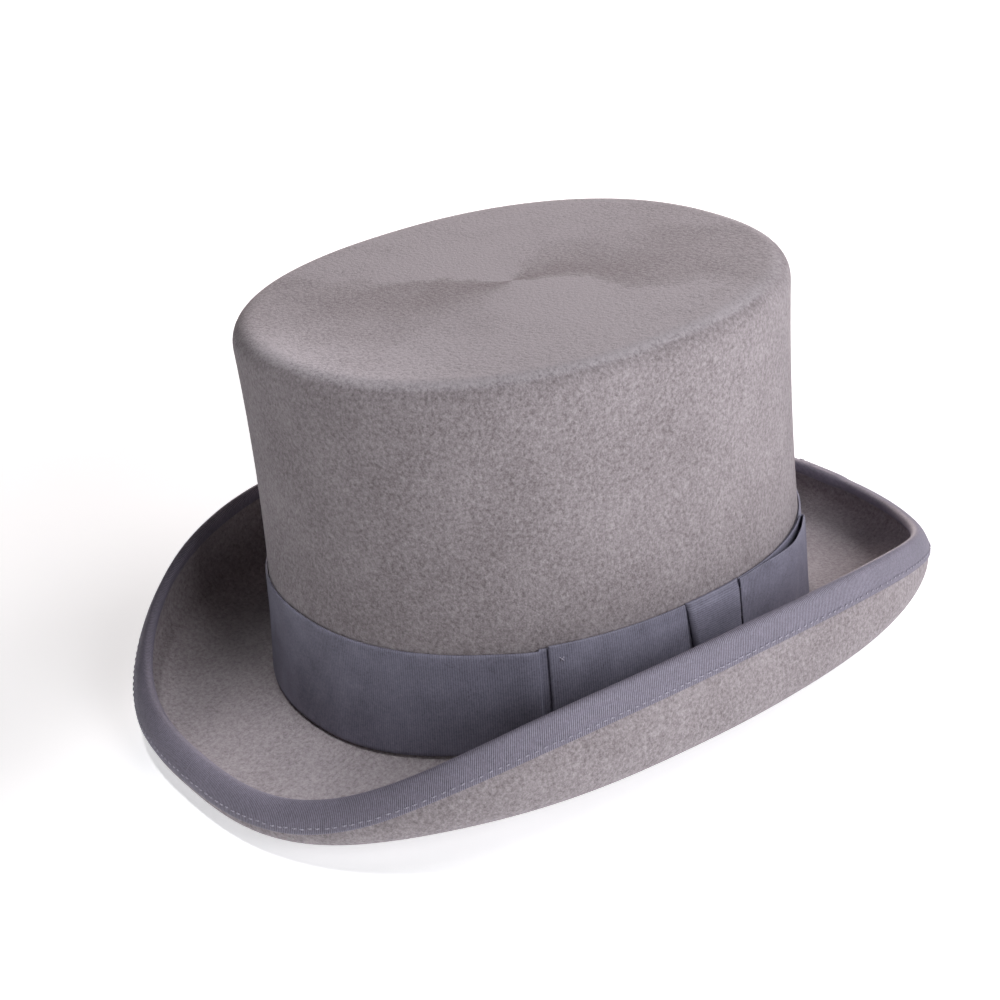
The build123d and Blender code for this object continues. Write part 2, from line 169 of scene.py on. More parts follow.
@dataclass(frozen=True)
class CrownShape:
    """Outside form of the crown, in millimetres: a slightly waisted oval tube with a flat tip."""

    half_width: float = 84.0
    half_length: float = 101.5
    oval: Oval = Oval(2.22)
    top: float = 141.8
    edge_radius: float = 8.0
    waist_start: float = 4.9
    waist_span: float = 137.4
    waist_width: tuple[float, float] = (-3.9, 4.3)
    waist_length: tuple[float, float] = (-15.8, 11.9)
    felt: float = 2.8
    break_line: Wave = Wave(10.1, twofold=3.1, sine=-2.1)

    def half_sizes(self, height: Array) -> tuple[Array, Array]:
        """Outside half width and half length at a height.

        Args:
            height: Heights above the table.

        Returns:
            Half widths and half lengths.
        """
        share = (np.asarray(height, float) - self.waist_start) / self.waist_span
        width = self.half_width + self.waist_width[0] * share + self.waist_width[1] * share**2
        in_out = self.waist_length
        length = self.half_length + in_out[0] * share + in_out[1] * share**2
        return width, length

    def wall(self, angle: Array, height: Array, proud: Array = 0.0) -> Array:
        """Points on the crown wall.

        Args:
            angle: Parameter angles.
            height: Heights above the table.
            proud: How far out of the felt's outer face, negative for inside.

        Returns:
            Array of (x, y, z).
        """
        angle, height, proud = np.broadcast_arrays(angle, height, proud)
        width, length = self.half_sizes(height)
        flat = self.oval.point(angle, width, length)
        level = flat + self.out(angle) * proud[..., None]
        return np.concatenate([level, height[..., None]], axis=-1)

    def out(self, angle: Array) -> Array:
        """Level outward normals of the wall.

        Args:
            angle: Parameter angles.

        Returns:
            Unit vectors (x, y), one per angle.
        """
        flat = self.oval.point(angle, self.half_width, self.half_length)
        power = self.oval.fullness - 1
        slope_x = signed_power(flat[..., 0] / self.half_width, power) / self.half_width
        slope_y = signed_power(flat[..., 1] / self.half_length, power) / self.half_length
        return unit(np.stack([slope_x, slope_y], axis=-1))

    def angle_at(self, y: Array) -> Array:
        """Parameter angle of the +X side's wall at a Y position."""
        share = signed_power(np.asarray(y, float) / self.half_length, self.oval.fullness / 2)
        return np.arctan2(share, np.sqrt(1 - share**2))


@dataclass(frozen=True)
class BrimShape:
    """Curled brim, in millimetres: one curve per angle from the crown to the ridge of the curl."""

    crown: CrownShape
    ridge_oval: Oval = Oval(2.61)
    ridge_half_width: float = 110.3
    ridge_half_length: float = 141.4
    ridge_shift: float = -1.05
    ridge_skew: float = -0.85
    ridge_height: Wave = Wave(33.6, 16.7, 0.4, -0.4, -0.9, -1.4)
    drop: Wave = Wave(8.1, -3.8, -4.3)
    curl: Wave = Wave(134.8, -48.4, 1.2, -0.4)
    root_handle: Wave = Wave(1.137, -0.308, -0.048)
    curl_handle: Wave = Wave(0.349, 0.225, 0.0, 0.121)
    root_inset: float = 1.0

    def curve(self, angle: Array, share: Array, proud: Array = 0.0) -> Array:
        """Points of the brim's underside or parallel to it.

        Args:
            angle: Parameter angles.
            share: Share of the curve, 0 at the crown and 1 at the ridge.
            proud: How far below and outside the felt's underside, negative for the upper side.

        Returns:
            Array of (x, y, z).
        """
        angle, share, proud = np.broadcast_arrays(np.asarray(angle, float), share, proud)
        crown = self.crown
        inset = self.root_inset
        inner = crown.oval.point(angle, crown.half_width - inset, crown.half_length - inset)
        ridge_width = self.ridge_half_width + self.ridge_skew * np.sin(angle)
        outer = self.ridge_oval.point(angle, ridge_width, self.ridge_half_length)
        reach_xy = outer + np.array([0.0, self.ridge_shift]) - inner
        reach = np.linalg.norm(reach_xy, axis=-1)
        way = reach_xy / reach[..., None]
        root = crown.break_line.at(angle) - crown.felt
        rise = self.ridge_height.at(angle) - root
        chord = np.hypot(reach, rise)
        drop, curl = np.radians(self.drop.at(angle)), np.radians(self.curl.at(angle))
        first = self.root_handle.at(angle) * chord
        last = self.curl_handle.at(angle) * chord
        top = root + rise
        handle_u = (0.0, first * np.cos(drop), reach - last * np.cos(curl), reach)
        handle_z = (root, root - first * np.sin(drop), top - last * np.sin(curl), top)
        s, r = share, 1 - share
        weights = (r**3, 3 * r**2 * s, 3 * r * s**2, s**3)
        slopes = (-3 * r**2, 3 * r**2 - 6 * r * s, 6 * r * s - 3 * s**2, 3 * s**2)
        u = sum(w * h for w, h in zip(weights, handle_u))
        z = sum(w * h for w, h in zip(weights, handle_z))
        du = sum(w * h for w, h in zip(slopes, handle_u))
        dz = sum(w * h for w, h in zip(slopes, handle_z))
        size = np.hypot(du, dz)
        u, z = u + proud * dz / size, z - proud * du / size
        return np.concatenate([inner + way * u[..., None], z[..., None]], axis=-1)

    def share_at(self, angle: Array, depth: Array) -> Array:
        """Share of the curve that lies a depth short of the ridge.

        Args:
            angle: Parameter angles.
            depth: Length along the curve from the ridge, in millimetres.

        Returns:
            One share per angle.
        """
        grid = np.linspace(0.0, 1.0, 401)
        points = self.curve(np.asarray(angle, float)[:, None], grid[None, :])
        step = np.linalg.norm(np.diff(points, axis=1), axis=2)[:, ::-1]
        run = np.concatenate([np.zeros((len(step), 1)), np.cumsum(step, axis=1)], axis=1)
        depth = np.broadcast_to(depth, (len(step),))
        return np.array([np.interp(d, r, grid[::-1]) for d, r in zip(depth, run)])

    def normal(self, angle: Array, share: Array) -> Array:
        """Unit normals of the curve, away from the felt on its underside."""
        return unit(self.curve(angle, share, 1.0) - self.curve(angle, share, 0.0))


# ---------------------------------------------------------------- mesh making


def scatter(shape: tuple[int, ...], seed: int) -> Array:
    """Repeatable even random numbers from -1 to 1."""
    return np.random.default_rng(seed).uniform(-1.0, 1.0, shape)


def slow_noise(
    angle: Array, other: Array, seed: int, waves: int = 5, other_span: float = 90.0
) -> Array:
    """Smooth irregularity round the hat, about -1 to 1, the same on every run.

    Args:
        angle: Parameter angles.
        other: A second coordinate in millimetres.
        seed: Which irregularity.
        waves: Most waves in one turn.
        other_span: Millimetres of the second coordinate in one wave.

    Returns:
        Array of the broadcast shape of the inputs.
    """
    rng = np.random.default_rng(seed)
    total = np.zeros(np.broadcast(angle, other).shape)
    for wave in range(1, waves + 1):
        for tilt in (-1.0, 0.0, 1.0):
            phase, size = rng.uniform(0, 2 * math.pi), rng.normal() / math.sqrt(wave)
            slant = tilt * 2 * math.pi * other / other_span
            total = total + size * np.cos(wave * angle + slant + phase)
    usual_peak = 1.6 * math.sqrt(3)
    return total / usual_peak


def across_ribbon(count: int) -> Array:
    """Shares of a ribbon's width, with count even rows and close ones at its two edges."""
    return np.concatenate([[0.0, 0.012, 0.04], np.linspace(0.1, 0.9, count), [0.96, 0.988, 1.0]])


@dataclass
class MeshParts:
    """Vertices, faces and texture places gathered for one mesh, in millimetres."""

    points: list[Array] = field(default_factory=list)
    faces: list[Array] = field(default_factory=list)
    places: list[Array] = field(default_factory=list)
    count: int = 0

    def quads(self, index: Array, place: Array) -> None:
        """Add four-sided faces.

        Args:
            index: Vertex numbers, (faces, 4).
            place: Texture places of their corners, (faces, 4, 2), in millimetres.
        """
        self.faces.append(index.reshape(-1, 4))
        self.places.append(place.reshape(-1, 2))

    def grid(self, points: Array, closed_rows: bool = False, closed_columns: bool = False) -> Array:
        """Add a sheet of four-sided faces over a grid of points.

        Args:
            points: Array (rows, columns, 3).
            closed_rows: The last row joins the first.
            closed_columns: The last column joins the first.

        Returns:
            Vertex numbers, (rows, columns).
        """
        rows, columns = points.shape[:2]
        number = self.count + np.arange(rows * columns).reshape(rows, columns)
        self.points.append(points.reshape(-1, 3))
        self.count += rows * columns
        more = ((0, int(closed_rows)), (0, int(closed_columns)))
        wrapped = np.pad(points, (*more, (0, 0)), mode="wrap")
        joined = np.pad(number, more, mode="wrap")
        along = np.linalg.norm(np.diff(wrapped, axis=1), axis=2).mean(axis=0)
        across = np.linalg.norm(np.diff(wrapped, axis=0), axis=2).mean(axis=1)
        runs = [np.concatenate([[0.0], np.cumsum(step)]) for step in (along, across)]
        place = np.stack(np.meshgrid(*runs), axis=-1)
        first, last = slice(None, -1), slice(1, None)
        corners = ((first, first), (first, last), (last, last), (last, first))
        self.quads(
            np.stack([joined[c] for c in corners], axis=-1).reshape(-1, 4),
            np.stack([place[c] for c in corners], axis=-2).reshape(-1, 4, 2),
        )
        return number

    def close_ring(self, ring: Array) -> None:
        """Fill a ring with a strip of four-sided faces.

        Args:
            ring: Vertex numbers round the ring, an even count of them.
        """
        half = len(ring) // 2
        near, far = ring[:half], ring[half:][::-1]
        strip = np.stack([near[:-1], near[1:], far[1:], far[:-1]], axis=-1)
        self.quads(strip, np.zeros((len(strip), 4, 2)))

    def capped(self, rings: Array) -> None:
        """Add a skin over a row of rings and close its first and its last ring.

        Args:
            rings: Array (rings, round, 3).
        """
        number = self.grid(rings, closed_columns=True)
        for end in (number[0], number[-1]):
            self.close_ring(end)

    def ribbon(self, face: Array, back: Array, closed: bool = False) -> None:
        """Add a strip of cloth with its thickness.

        Args:
            face: Points of the outer side, (across, along, 3).
            back: Points of the other side, the same shape.
            closed: The strip's ends meet.
        """
        skin = np.concatenate([face, back[::-1]])
        number = self.grid(skin, closed_rows=True, closed_columns=closed)
        if not closed:
            for end in (number[:, 0], number[:, -1]):
                self.close_ring(end)

    def stitches(
        self, centres: Array, ahead: Array, out: Array, size: tuple[float, float, float]
    ) -> None:
        """Add stitches: short rounded threads whose ends dive into the cloth.

        Args:
            centres: Middle of each stitch on the cloth, (count, 3).
            ahead: Direction of each, of any length.
            out: Unit direction away from the cloth.
            size: Length, width and height of a stitch.
        """
        along = unit(ahead)
        side = np.cross(out, along)
        reach = np.array([-1.0, -0.94, -0.75, -0.4, 0.0, 0.4, 0.75, 0.94, 1.0])
        body = np.sqrt(np.clip(1.0 - np.abs(reach) ** 5, 0.04, 1.0))
        lift = size[2] * (0.55 - 0.75 * np.abs(reach) ** 3)
        turn = np.linspace(0.0, math.tau, 9)[:-1]
        for spot, ahead, away, wide in zip(centres, along, out, side):
            ring = (
                spot
                + (reach * size[0] / 2)[:, None, None] * ahead
                + (body[:, None] * np.cos(turn) * size[1] / 2)[..., None] * wide
                + (lift[:, None] + body[:, None] * np.sin(turn) * size[2] / 2)[..., None] * away
            )
            self.capped(ring)

    def piece(self, name: str) -> bpy.types.Object:
        """Linked object of everything gathered, in metres, with its faces turned outward.

        Args:
            name: Name of the piece.

        Returns:
            The object.
        """
        mesh = bpy.data.meshes.new(name)
        points = np.concatenate(self.points) * MM
        mesh.from_pydata(points.tolist(), [], np.concatenate(self.faces).tolist())
        layer = mesh.uv_layers.new(name="cloth")
        places = np.concatenate(self.places) * MM
        layer.data.foreach_set("uv", places.astype(np.float32).ravel())
        shell = bmesh.new()
        shell.from_mesh(mesh)
        bmesh.ops.recalc_face_normals(shell, faces=shell.faces)
        shell.to_mesh(mesh)
        shell.free()
        mesh.shade_smooth()
        made = bpy.data.objects.new(name, mesh)
        bpy.context.scene.collection.objects.link(made)
        return made


# ---------------------------------------------------------------- finishes


def linear(colour: str) -> tuple[float, float, float, float]:
    """Linear colour of an sRGB value.

    Args:
        colour: Hex value such as #a09a9c.

    Returns:
        Red, green, blue and an alpha of 1.
    """
    parts = [int(colour[k : k + 2], 16) / 255 for k in (1, 3, 5)]
    r, g, b = (p / 12.92 if p <= 0.04045 else ((p + 0.055) / 1.055) ** 2.4 for p in parts)
    return r, g, b, 1.0


def add_node(
    tree: Tree, kind: str, links: dict | None = None, **settings: object
) -> bpy.types.Node:
    """Add one node.

    Args:
        tree: Node tree it goes in.
        kind: Node type, without its ShaderNode prefix.
        links: Socket name or number to the value it holds, or the output it is fed from.
        settings: Properties of the node.

    Returns:
        The node.
    """
    node = tree.nodes.new("ShaderNode" + kind)
    for name, value in settings.items():
        setattr(node, name, value)
    for socket, value in (links or {}).items():
        target = node.inputs[socket]
        if isinstance(value, bpy.types.NodeSocket):
            tree.links.new(value, target)
        else:
            target.default_value = value
    return node


def wave_scale(pitch: float) -> float:
    """Scale of a wave texture whose bands are pitch millimetres wide."""
    return math.tau / (20 * pitch * MM)


@dataclass(frozen=True)
class Finish:
    """What every finish has: a name, its two tones and how rough it is."""

    name: str
    dark: str
    light: str
    roughness: float

    def material(self) -> bpy.types.Material:
        """The Blender material, made once and then found again.

        Returns:
            The material.
        """
        made = bpy.data.materials.get(self.name)
        if made is None:
            made = bpy.data.materials.new(self.name)
            made.use_nodes = True
            made.node_tree.nodes.clear()
            shader = self.shade(made.node_tree)
            add_node(made.node_tree, "OutputMaterial", {"Surface": shader.outputs[0]})
        return made

    def shade(self, tree: Tree) -> bpy.types.Node:
        """Build the nodes and give back the shader."""
        raise NotImplementedError

    def dye(self, tree: Tree, pattern: Socket, low: float, high: float) -> Socket:
        """Colour from the dark tone to the light one.

        Args:
            tree: Node tree.
            pattern: Value that varies over the surface.
            low: Value of the pattern that gets the dark tone.
            high: Value that gets the light tone.

        Returns:
            The colour.
        """
        share = add_node(tree, "MapRange", {0: pattern, 1: low, 2: high}).outputs[0]
        tones = {"Factor": share, 6: linear(self.dark), 7: linear(self.light)}
        return add_node(tree, "Mix", tones, data_type="RGBA").outputs[2]

    def grain(
        self,
        tree: Tree,
        size: float,
        detail: float = 3.0,
        stretch: tuple[float, float, float] = (1.0, 1.0, 1.0),
    ) -> Socket:
        """Cloudy noise.

        Args:
            tree: Node tree.
            size: About how wide a lump is, in millimetres.
            detail: How much finer noise is added.
            stretch: Scale of each axis, below 1 for lumps that are long that way.

        Returns:
            The noise, around 0.5.
        """
        place = add_node(tree, "TexCoord").outputs["Object"]
        links = {0: place, 1: stretch}
        scaled = add_node(tree, "VectorMath", links, operation="MULTIPLY").outputs[0]
        links = {"Vector": scaled, "Scale": 1 / (size * MM), "Detail": detail, "Roughness": 0.6}
        return add_node(tree, "TexNoise", links).outputs[0]

    def sum_of(self, tree: Tree, *terms: tuple[Socket, float]) -> Socket:
        """Weighted sum.

        Args:
            tree: Node tree.
            terms: Values, each with its weight.

        Returns:
            The sum.
        """
        total = 0.0
        for value, weight in terms:
            links = {0: value, 1: weight, 2: total}
            total = add_node(tree, "Math", links, operation="MULTIPLY_ADD").outputs[0]
        return total


@dataclass(frozen=True)
class FurFelt(Finish):
    """Rabbit-fur felt, blocked and brushed: soft matt grey, its short nap lighter seen edge on.

    The nap on the tip was brushed in a swirl, and the sheen on it is painted in as two pale and
    two dark sectors that meet in the middle. Faces that point up are painted a little paler than
    the walls, as light from above would make them, and the whole tip is painted paler again.
    The nap is drawn coarser than real fur, or it would not show.
    """

    nap: float = 0.6
    clump: float = 1.4
    cloud: float = 24.0
    brown: str = "#8c7f7c"
    tip_height: float = 139.5
    swirl_start: float = 52.0
    swirl_twist: float = 2.2
    swirl_weight: float = 0.2
    swirl_wander: float = 0.35
    swirl_reach: float = 85.0
    swirl_ramp: tuple[tuple[float, float], ...] = ((0.13, 0.0), (0.45, 0.45), (0.88, 1.0))
    # painted light: how much paler faces that point up are made
    painted_top_light: float = 0.08
    # painted light: how much paler the whole tip is made
    painted_tip_light: float = 0.065

    def swirl(self, tree: Tree) -> Socket:
        """Tone added on the tip, 0 below its edge: painted sheen of the brushed nap in pale and
        dark sectors, with painted light that makes the whole tip paler.

        Args:
            tree: Node tree.

        Returns:
            The tone to add.
        """
        place = add_node(tree, "TexCoord").outputs["Object"]
        axes = add_node(tree, "SeparateXYZ", {0: place}).outputs
        level = add_node(tree, "CombineXYZ", {0: axes[0], 1: axes[1]}).outputs[0]
        radius = add_node(tree, "VectorMath", {0: level}, operation="LENGTH").outputs["Value"]
        around = add_node(tree, "Math", {0: axes[1], 1: axes[0]}, operation="ARCTAN2").outputs[0]
        cloudy = {0: self.grain(tree, 30.0), 1: 0.25, 2: 0.75, 3: -0.45, 4: 0.45}
        wander = add_node(tree, "MapRange", cloudy).outputs[0]
        turned = self.sum_of(
            tree, (around, 1 / math.pi), (radius, self.swirl_twist), (wander, self.swirl_wander)
        )
        links = {0: turned, 1: 2.0 - self.swirl_start / 180.0}
        shifted = add_node(tree, "Math", links, operation="ADD").outputs[0]
        share = add_node(tree, "Math", {0: shifted}, operation="FRACT").outputs[0]
        ramp = add_node(tree, "ValToRGB", {0: share})
        # painted sheen: the ramp turns the brushed nap's swirl into pale and dark sectors, as its
        # sheen shows under the light
        ramp.color_ramp.interpolation = "B_SPLINE"
        for stop, grey in self.swirl_ramp:
            ramp.color_ramp.elements.new(stop).color = (grey, grey, grey, 1.0)
        for end in (0, -1):
            ramp.color_ramp.elements[end].color = (0.5, 0.5, 0.5, 1.0)
        brushed_nap_and_sheen = add_node(tree, "MapRange", {0: ramp.outputs[0], 3: -1.0, 4: 1.0}).outputs[0]
        fading = {0: radius, 2: self.swirl_reach * MM, 3: 1.0, 4: 0.3}
        fade = add_node(tree, "MapRange", fading).outputs[0]
        edge = {0: axes[2], 1: self.tip_height * MM, 2: (self.tip_height + 1.5) * MM}
        on_tip = add_node(tree, "MapRange", edge).outputs[0]
        faded = add_node(tree, "Math", {0: brushed_nap_and_sheen, 1: fade}, operation="MULTIPLY").outputs[0]
        swirl_nap_and_sheen = self.sum_of(tree, (faded, self.swirl_weight))
        # painted light: the whole tip is made paler, as if lit from above
        links = {0: swirl_nap_and_sheen, 1: self.painted_tip_light}
        pale = add_node(tree, "Math", links, operation="ADD").outputs[0]
        return add_node(tree, "Math", {0: pale, 1: on_tip}, operation="MULTIPLY").outputs[0]

    def shade(self, tree: Tree) -> bpy.types.Node:
        """Nap from three sizes of noise, with painted light that makes upward faces paler, and the
        tip's swirl of painted sheen over it.

        Args:
            tree: Node tree.

        Returns:
            The shader.
        """
        fine, clump = self.grain(tree, self.nap), self.grain(tree, self.clump, 2.0)
        cloud, swirl = self.grain(tree, self.cloud, 2.0), self.swirl(tree)
        normal = add_node(tree, "NewGeometry").outputs["Normal"]
        facing = add_node(tree, "SeparateXYZ", {0: normal}).outputs[2]
        # painted light: faces that point up are made paler, as light from above would make them
        flat = add_node(tree, "MapRange", {0: facing, 1: 0.7, 2: 0.98}).outputs[0]
        tone = self.sum_of(
            tree, (fine, 0.38), (clump, 0.46), (cloud, 0.16), (swirl, 1.0), (flat, self.painted_top_light)
        )
        grey = self.dye(tree, tone, 0.355, 0.685)
        pale, deep = self.painted_tip_light, self.painted_tip_light - self.swirl_weight
        brown = add_node(tree, "MapRange", {0: swirl, 1: pale, 2: deep, 4: 0.5}).outputs[0]
        cast = {"Factor": brown, 6: grey, 7: linear(self.brown)}
        colour = add_node(tree, "Mix", cast, data_type="RGBA").outputs[2]
        height = self.sum_of(tree, (fine, 0.4), (clump, 0.8))
        relief = {"Height": height, "Strength": 0.6, "Distance": 0.0007}
        bump = add_node(tree, "Bump", relief).outputs[0]
        links = {
            "Base Color": colour,
            "Roughness": self.roughness,
            "IOR": 1.45,
            "Specular IOR Level": 0.12,
            "Sheen Weight": 0.28,
            "Sheen Roughness": 0.5,
            "Sheen Tint": linear("#d6d0d8"),
            "Normal": bump,
        }
        return add_node(tree, "BsdfPrincipled", links)


@dataclass(frozen=True)
class Petersham(Finish):
    """Petersham ribbon: ribbed rayon and cotton, a dull lustre that runs along its cross ribs."""

    rib: float = 0.8
    sheen: float = 0.35
    ribbed: float = 0.3

    def shade(self, tree: Tree) -> bpy.types.Node:
        """Ribs across the ribbon from its own length, broken by the flecks of its uneven yarn.

        Args:
            tree: Node tree.

        Returns:
            The shader.
        """
        place = add_node(tree, "UVMap", uv_map="cloth").outputs[0]
        uneven = {"Distortion": 1.2, "Detail": 1.0, "Detail Scale": 0.9}
        links = {"Vector": place, "Scale": wave_scale(self.rib), **uneven}
        wave = add_node(tree, "TexWave", links, wave_type="BANDS", bands_direction="X")
        ribs = wave.outputs[1]
        fleck, slub = self.grain(tree, 0.5, 2.0), self.grain(tree, 1.1, 2.0)
        rest = (self.grain(tree, 12.0, 2.0), 0.45 - self.ribbed)
        tone = self.sum_of(tree, (ribs, self.ribbed), (fleck, 0.3), (slub, 0.25), rest)
        colour = self.dye(tree, tone, 0.25, 0.75)
        height = self.sum_of(tree, (ribs, 1.6 * self.ribbed), (fleck, 0.3))
        relief = {"Height": height, "Strength": 0.6, "Distance": 0.00022}
        bump = add_node(tree, "Bump", relief).outputs[0]
        links = {
            "Base Color": colour,
            "Roughness": self.roughness,
            "IOR": 1.5,
            "Specular IOR Level": 0.3,
            "Sheen Weight": self.sheen,
            "Sheen Roughness": 0.4,
            "Sheen Tint": linear(self.light),
            "Normal": bump,
        }
        return add_node(tree, "BsdfPrincipled", links)


@dataclass(frozen=True)
class SpunThread(Finish):
    """Spun sewing thread: two plies twisted together, slightly glossy."""

    twist: float = 0.5

    def shade(self, tree: Tree) -> bpy.types.Node:
        """Fine twist bands over the thread.

        Args:
            tree: Node tree.

        Returns:
            The shader.
        """
        place = add_node(tree, "UVMap", uv_map="cloth").outputs[0]
        links = {"Vector": place, "Scale": wave_scale(self.twist), "Distortion": 0.3}
        wave = add_node(tree, "TexWave", links, wave_type="BANDS", bands_direction="DIAGONAL")
        plies = wave.outputs[1]
        relief = {"Height": plies, "Strength": 0.5, "Distance": 0.00008}
        links = {
            "Base Color": self.dye(tree, plies, 0.0, 1.0),
            "Roughness": self.roughness,
            "Specular IOR Level": 0.4,
            "Normal": add_node(tree, "Bump", relief).outputs[0],
        }
        return add_node(tree, "BsdfPrincipled", links)


@dataclass(frozen=True)
class GrainLeather(Finish):
    """Vegetable-tanned sheep leather, rolled smooth: fine pebble grain under a thin wax shine."""

    pebble: float = 0.9

    def shade(self, tree: Tree) -> bpy.types.Node:
        """Cells for the pebbles, with slow staining over them.

        Args:
            tree: Node tree.

        Returns:
            The shader.
        """
        place = add_node(tree, "TexCoord").outputs["Object"]
        links = {"Vector": place, "Scale": 1 / (self.pebble * MM)}
        cells = add_node(tree, "TexVoronoi", links, feature="DISTANCE_TO_EDGE").outputs[0]
        stain, fine = self.grain(tree, 14.0, 4.0), self.grain(tree, 0.4, 2.0)
        tone = self.sum_of(tree, (stain, 0.6), (fine, 0.2), (cells, 0.5))
        domed = add_node(tree, "MapRange", {0: cells, 2: 0.25}).outputs[0]
        height = self.sum_of(tree, (domed, 0.7), (fine, 0.3))
        relief = {"Height": height, "Strength": 0.4, "Distance": 0.00015}
        wear = {0: stain, 1: 0.2, 2: 0.8, 3: self.roughness - 0.08, 4: self.roughness + 0.08}
        links = {
            "Base Color": self.dye(tree, tone, 0.25, 0.8),
            "Roughness": add_node(tree, "MapRange", wear).outputs[0],
            "Specular IOR Level": 0.45,
            "Normal": add_node(tree, "Bump", relief).outputs[0],
        }
        return add_node(tree, "BsdfPrincipled", links)


@dataclass(frozen=True)
class LiningSatin(Finish):
    """Acetate satin: long smooth floats that catch the light one way, over a soft drape."""

    thread: float = 0.35

    def shade(self, tree: Tree) -> bpy.types.Node:
        """Fine threads one way, coarser shading the other.

        Args:
            tree: Node tree.

        Returns:
            The shader.
        """
        threads = self.grain(tree, self.thread, 2.0, (1.0, 1.0, 0.12))
        shadow = self.grain(tree, 16.0, 2.0, (1.0, 1.0, 0.35))
        tone = self.sum_of(tree, (threads, 0.4), (shadow, 0.6))
        colour = self.dye(tree, tone, 0.3, 0.7)
        height = self.sum_of(tree, (threads, 0.3), (shadow, 0.9))
        relief = {"Height": height, "Strength": 0.35, "Distance": 0.0006}
        bump = add_node(tree, "Bump", relief).outputs[0]
        links = {
            "Base Color": colour,
            "Roughness": self.roughness,
            "Specular IOR Level": 0.5,
            "Sheen Weight": 0.15,
            "Anisotropic": 0.4,
            "Normal": bump,
        }
        return add_node(tree, "BsdfPrincipled", links)


@dataclass(frozen=True)
class OpalTable(Finish):
    """Opal acrylic light table: near white, matt, softly lit from below."""

    glow: float = 0.54

    def shade(self, tree: Tree) -> bpy.types.Node:
        """Barely visible clouding over an even glow.

        Args:
            tree: Node tree.

        Returns:
            The shader.
        """
        links = {
            "Base Color": self.dye(tree, self.grain(tree, 60.0, 2.0), 0.0, 1.0),
            "Roughness": self.roughness,
            "Emission Color": linear("#fbfdff"),
            "Emission Strength": self.glow,
        }
        return add_node(tree, "BsdfPrincipled", links)


FELT = FurFelt("brushed_fur_felt", "#736c6f", "#bab3b7", 0.95)
BAND_RIBBON = Petersham("slate_grey_petersham", "#56535f", "#9c9bae", 0.62, 0.8, 0.12, 0.14)
BINDING_RIBBON = Petersham("lilac_grey_petersham", "#534f59", "#9994a4", 0.62, 0.7, 0.3, 0.34)
THREAD = SpunThread("lilac_spun_thread", "#8d8997", "#b6b2c0", 0.6)
DARK_THREAD = SpunThread("charcoal_spun_thread", "#3c3940", "#6b6670", 0.55)
LEATHER = GrainLeather("sheep_leather", "#4a3326", "#7a5a44", 0.42)
REED = GrainLeather("leather_covered_reed", "#3c291f", "#5d4334", 0.4, 0.6)
SMALL_RIBBON = Petersham("narrow_satin_ribbon", "#2e2b31", "#57525c", 0.4, 0.5)
SATIN = LiningSatin("pearl_grey_satin", "#a9a4ab", "#cfcad1", 0.34)
PIPING = LiningSatin("covered_piping", "#6b6670", "#8d8892", 0.4, 0.5)
TABLE = OpalTable("opal_acrylic", "#f3f3f3", "#f8f8f8", 0.9)


# ---------------------------------------------------------------- pieces of the hat


class Hold(Enum):
    """How a piece of cloth is held."""

    STRETCHED = "stretched"
    FOLDED = "folded"
    GATHERED = "gathered"


@dataclass(frozen=True)
class Cloth:
    """A strip as it was cut, in millimetres; an oval's share is its area over its box's."""

    width: float
    length: float
    hold: Hold
    rests_on: tuple[str, ...]
    share: float | None = None


def settle(
    piece: bpy.types.Object, node: str, finish: Finish
) -> None:
    """Give a piece its finish and its place in the frame.

    Args:
        piece: The finished piece.
        node: CAD node that it stands for.
        finish: Its finish.
    """
    piece.data.materials.append(finish.material())
    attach(piece, BODY)
    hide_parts(node)
    log.info("%s: %d faces, %s", piece.name, len(piece.data.polygons), finish.name)


@dataclass(frozen=True)
class HatForm:
    """The blocked form that every piece follows."""

    crown: CrownShape = CrownShape()
    brim: BrimShape = BrimShape(CrownShape())
    band_top: Wave = Wave(47.9, sine=-2.1)
    band_lift: float = 1.4
    gap: float = 0.3
    ribbon: float = 0.7

    def band_height(self, angle: Array, share: Array) -> Array:
        """Height at a share of the band's width, 0 at its lower edge."""
        low = self.crown.break_line.at(angle) + self.band_lift
        return low + (self.band_top.at(angle) - low) * share

    def crown_angles(self, count: int) -> Array:
        """Angles evenly spaced round the crown."""
        return self.crown.oval.even_angles(count, self.crown.half_width, self.crown.half_length)

    def ridge_angles(self, count: int) -> Array:
        """Angles evenly spaced round the brim's edge."""
        brim = self.brim
        return brim.ridge_oval.even_angles(count, brim.ridge_half_width, brim.ridge_half_length)

    def brim_edge(self, angle: Array, edge: Array) -> tuple[Array, Array]:
        """Middle of the felt at the brim's edge, and the way on past it.

        Args:
            angle: Parameter angles.
            edge: Share of the brim's curve at which the edge is, one per angle.

        Returns:
            Points and unit vectors, (angles, 3) each.
        """
        middle = self.brim.curve(angle, edge, -self.crown.felt / 2)
        return middle, unit(middle - self.brim.curve(angle, edge - 0.01, -self.crown.felt / 2))


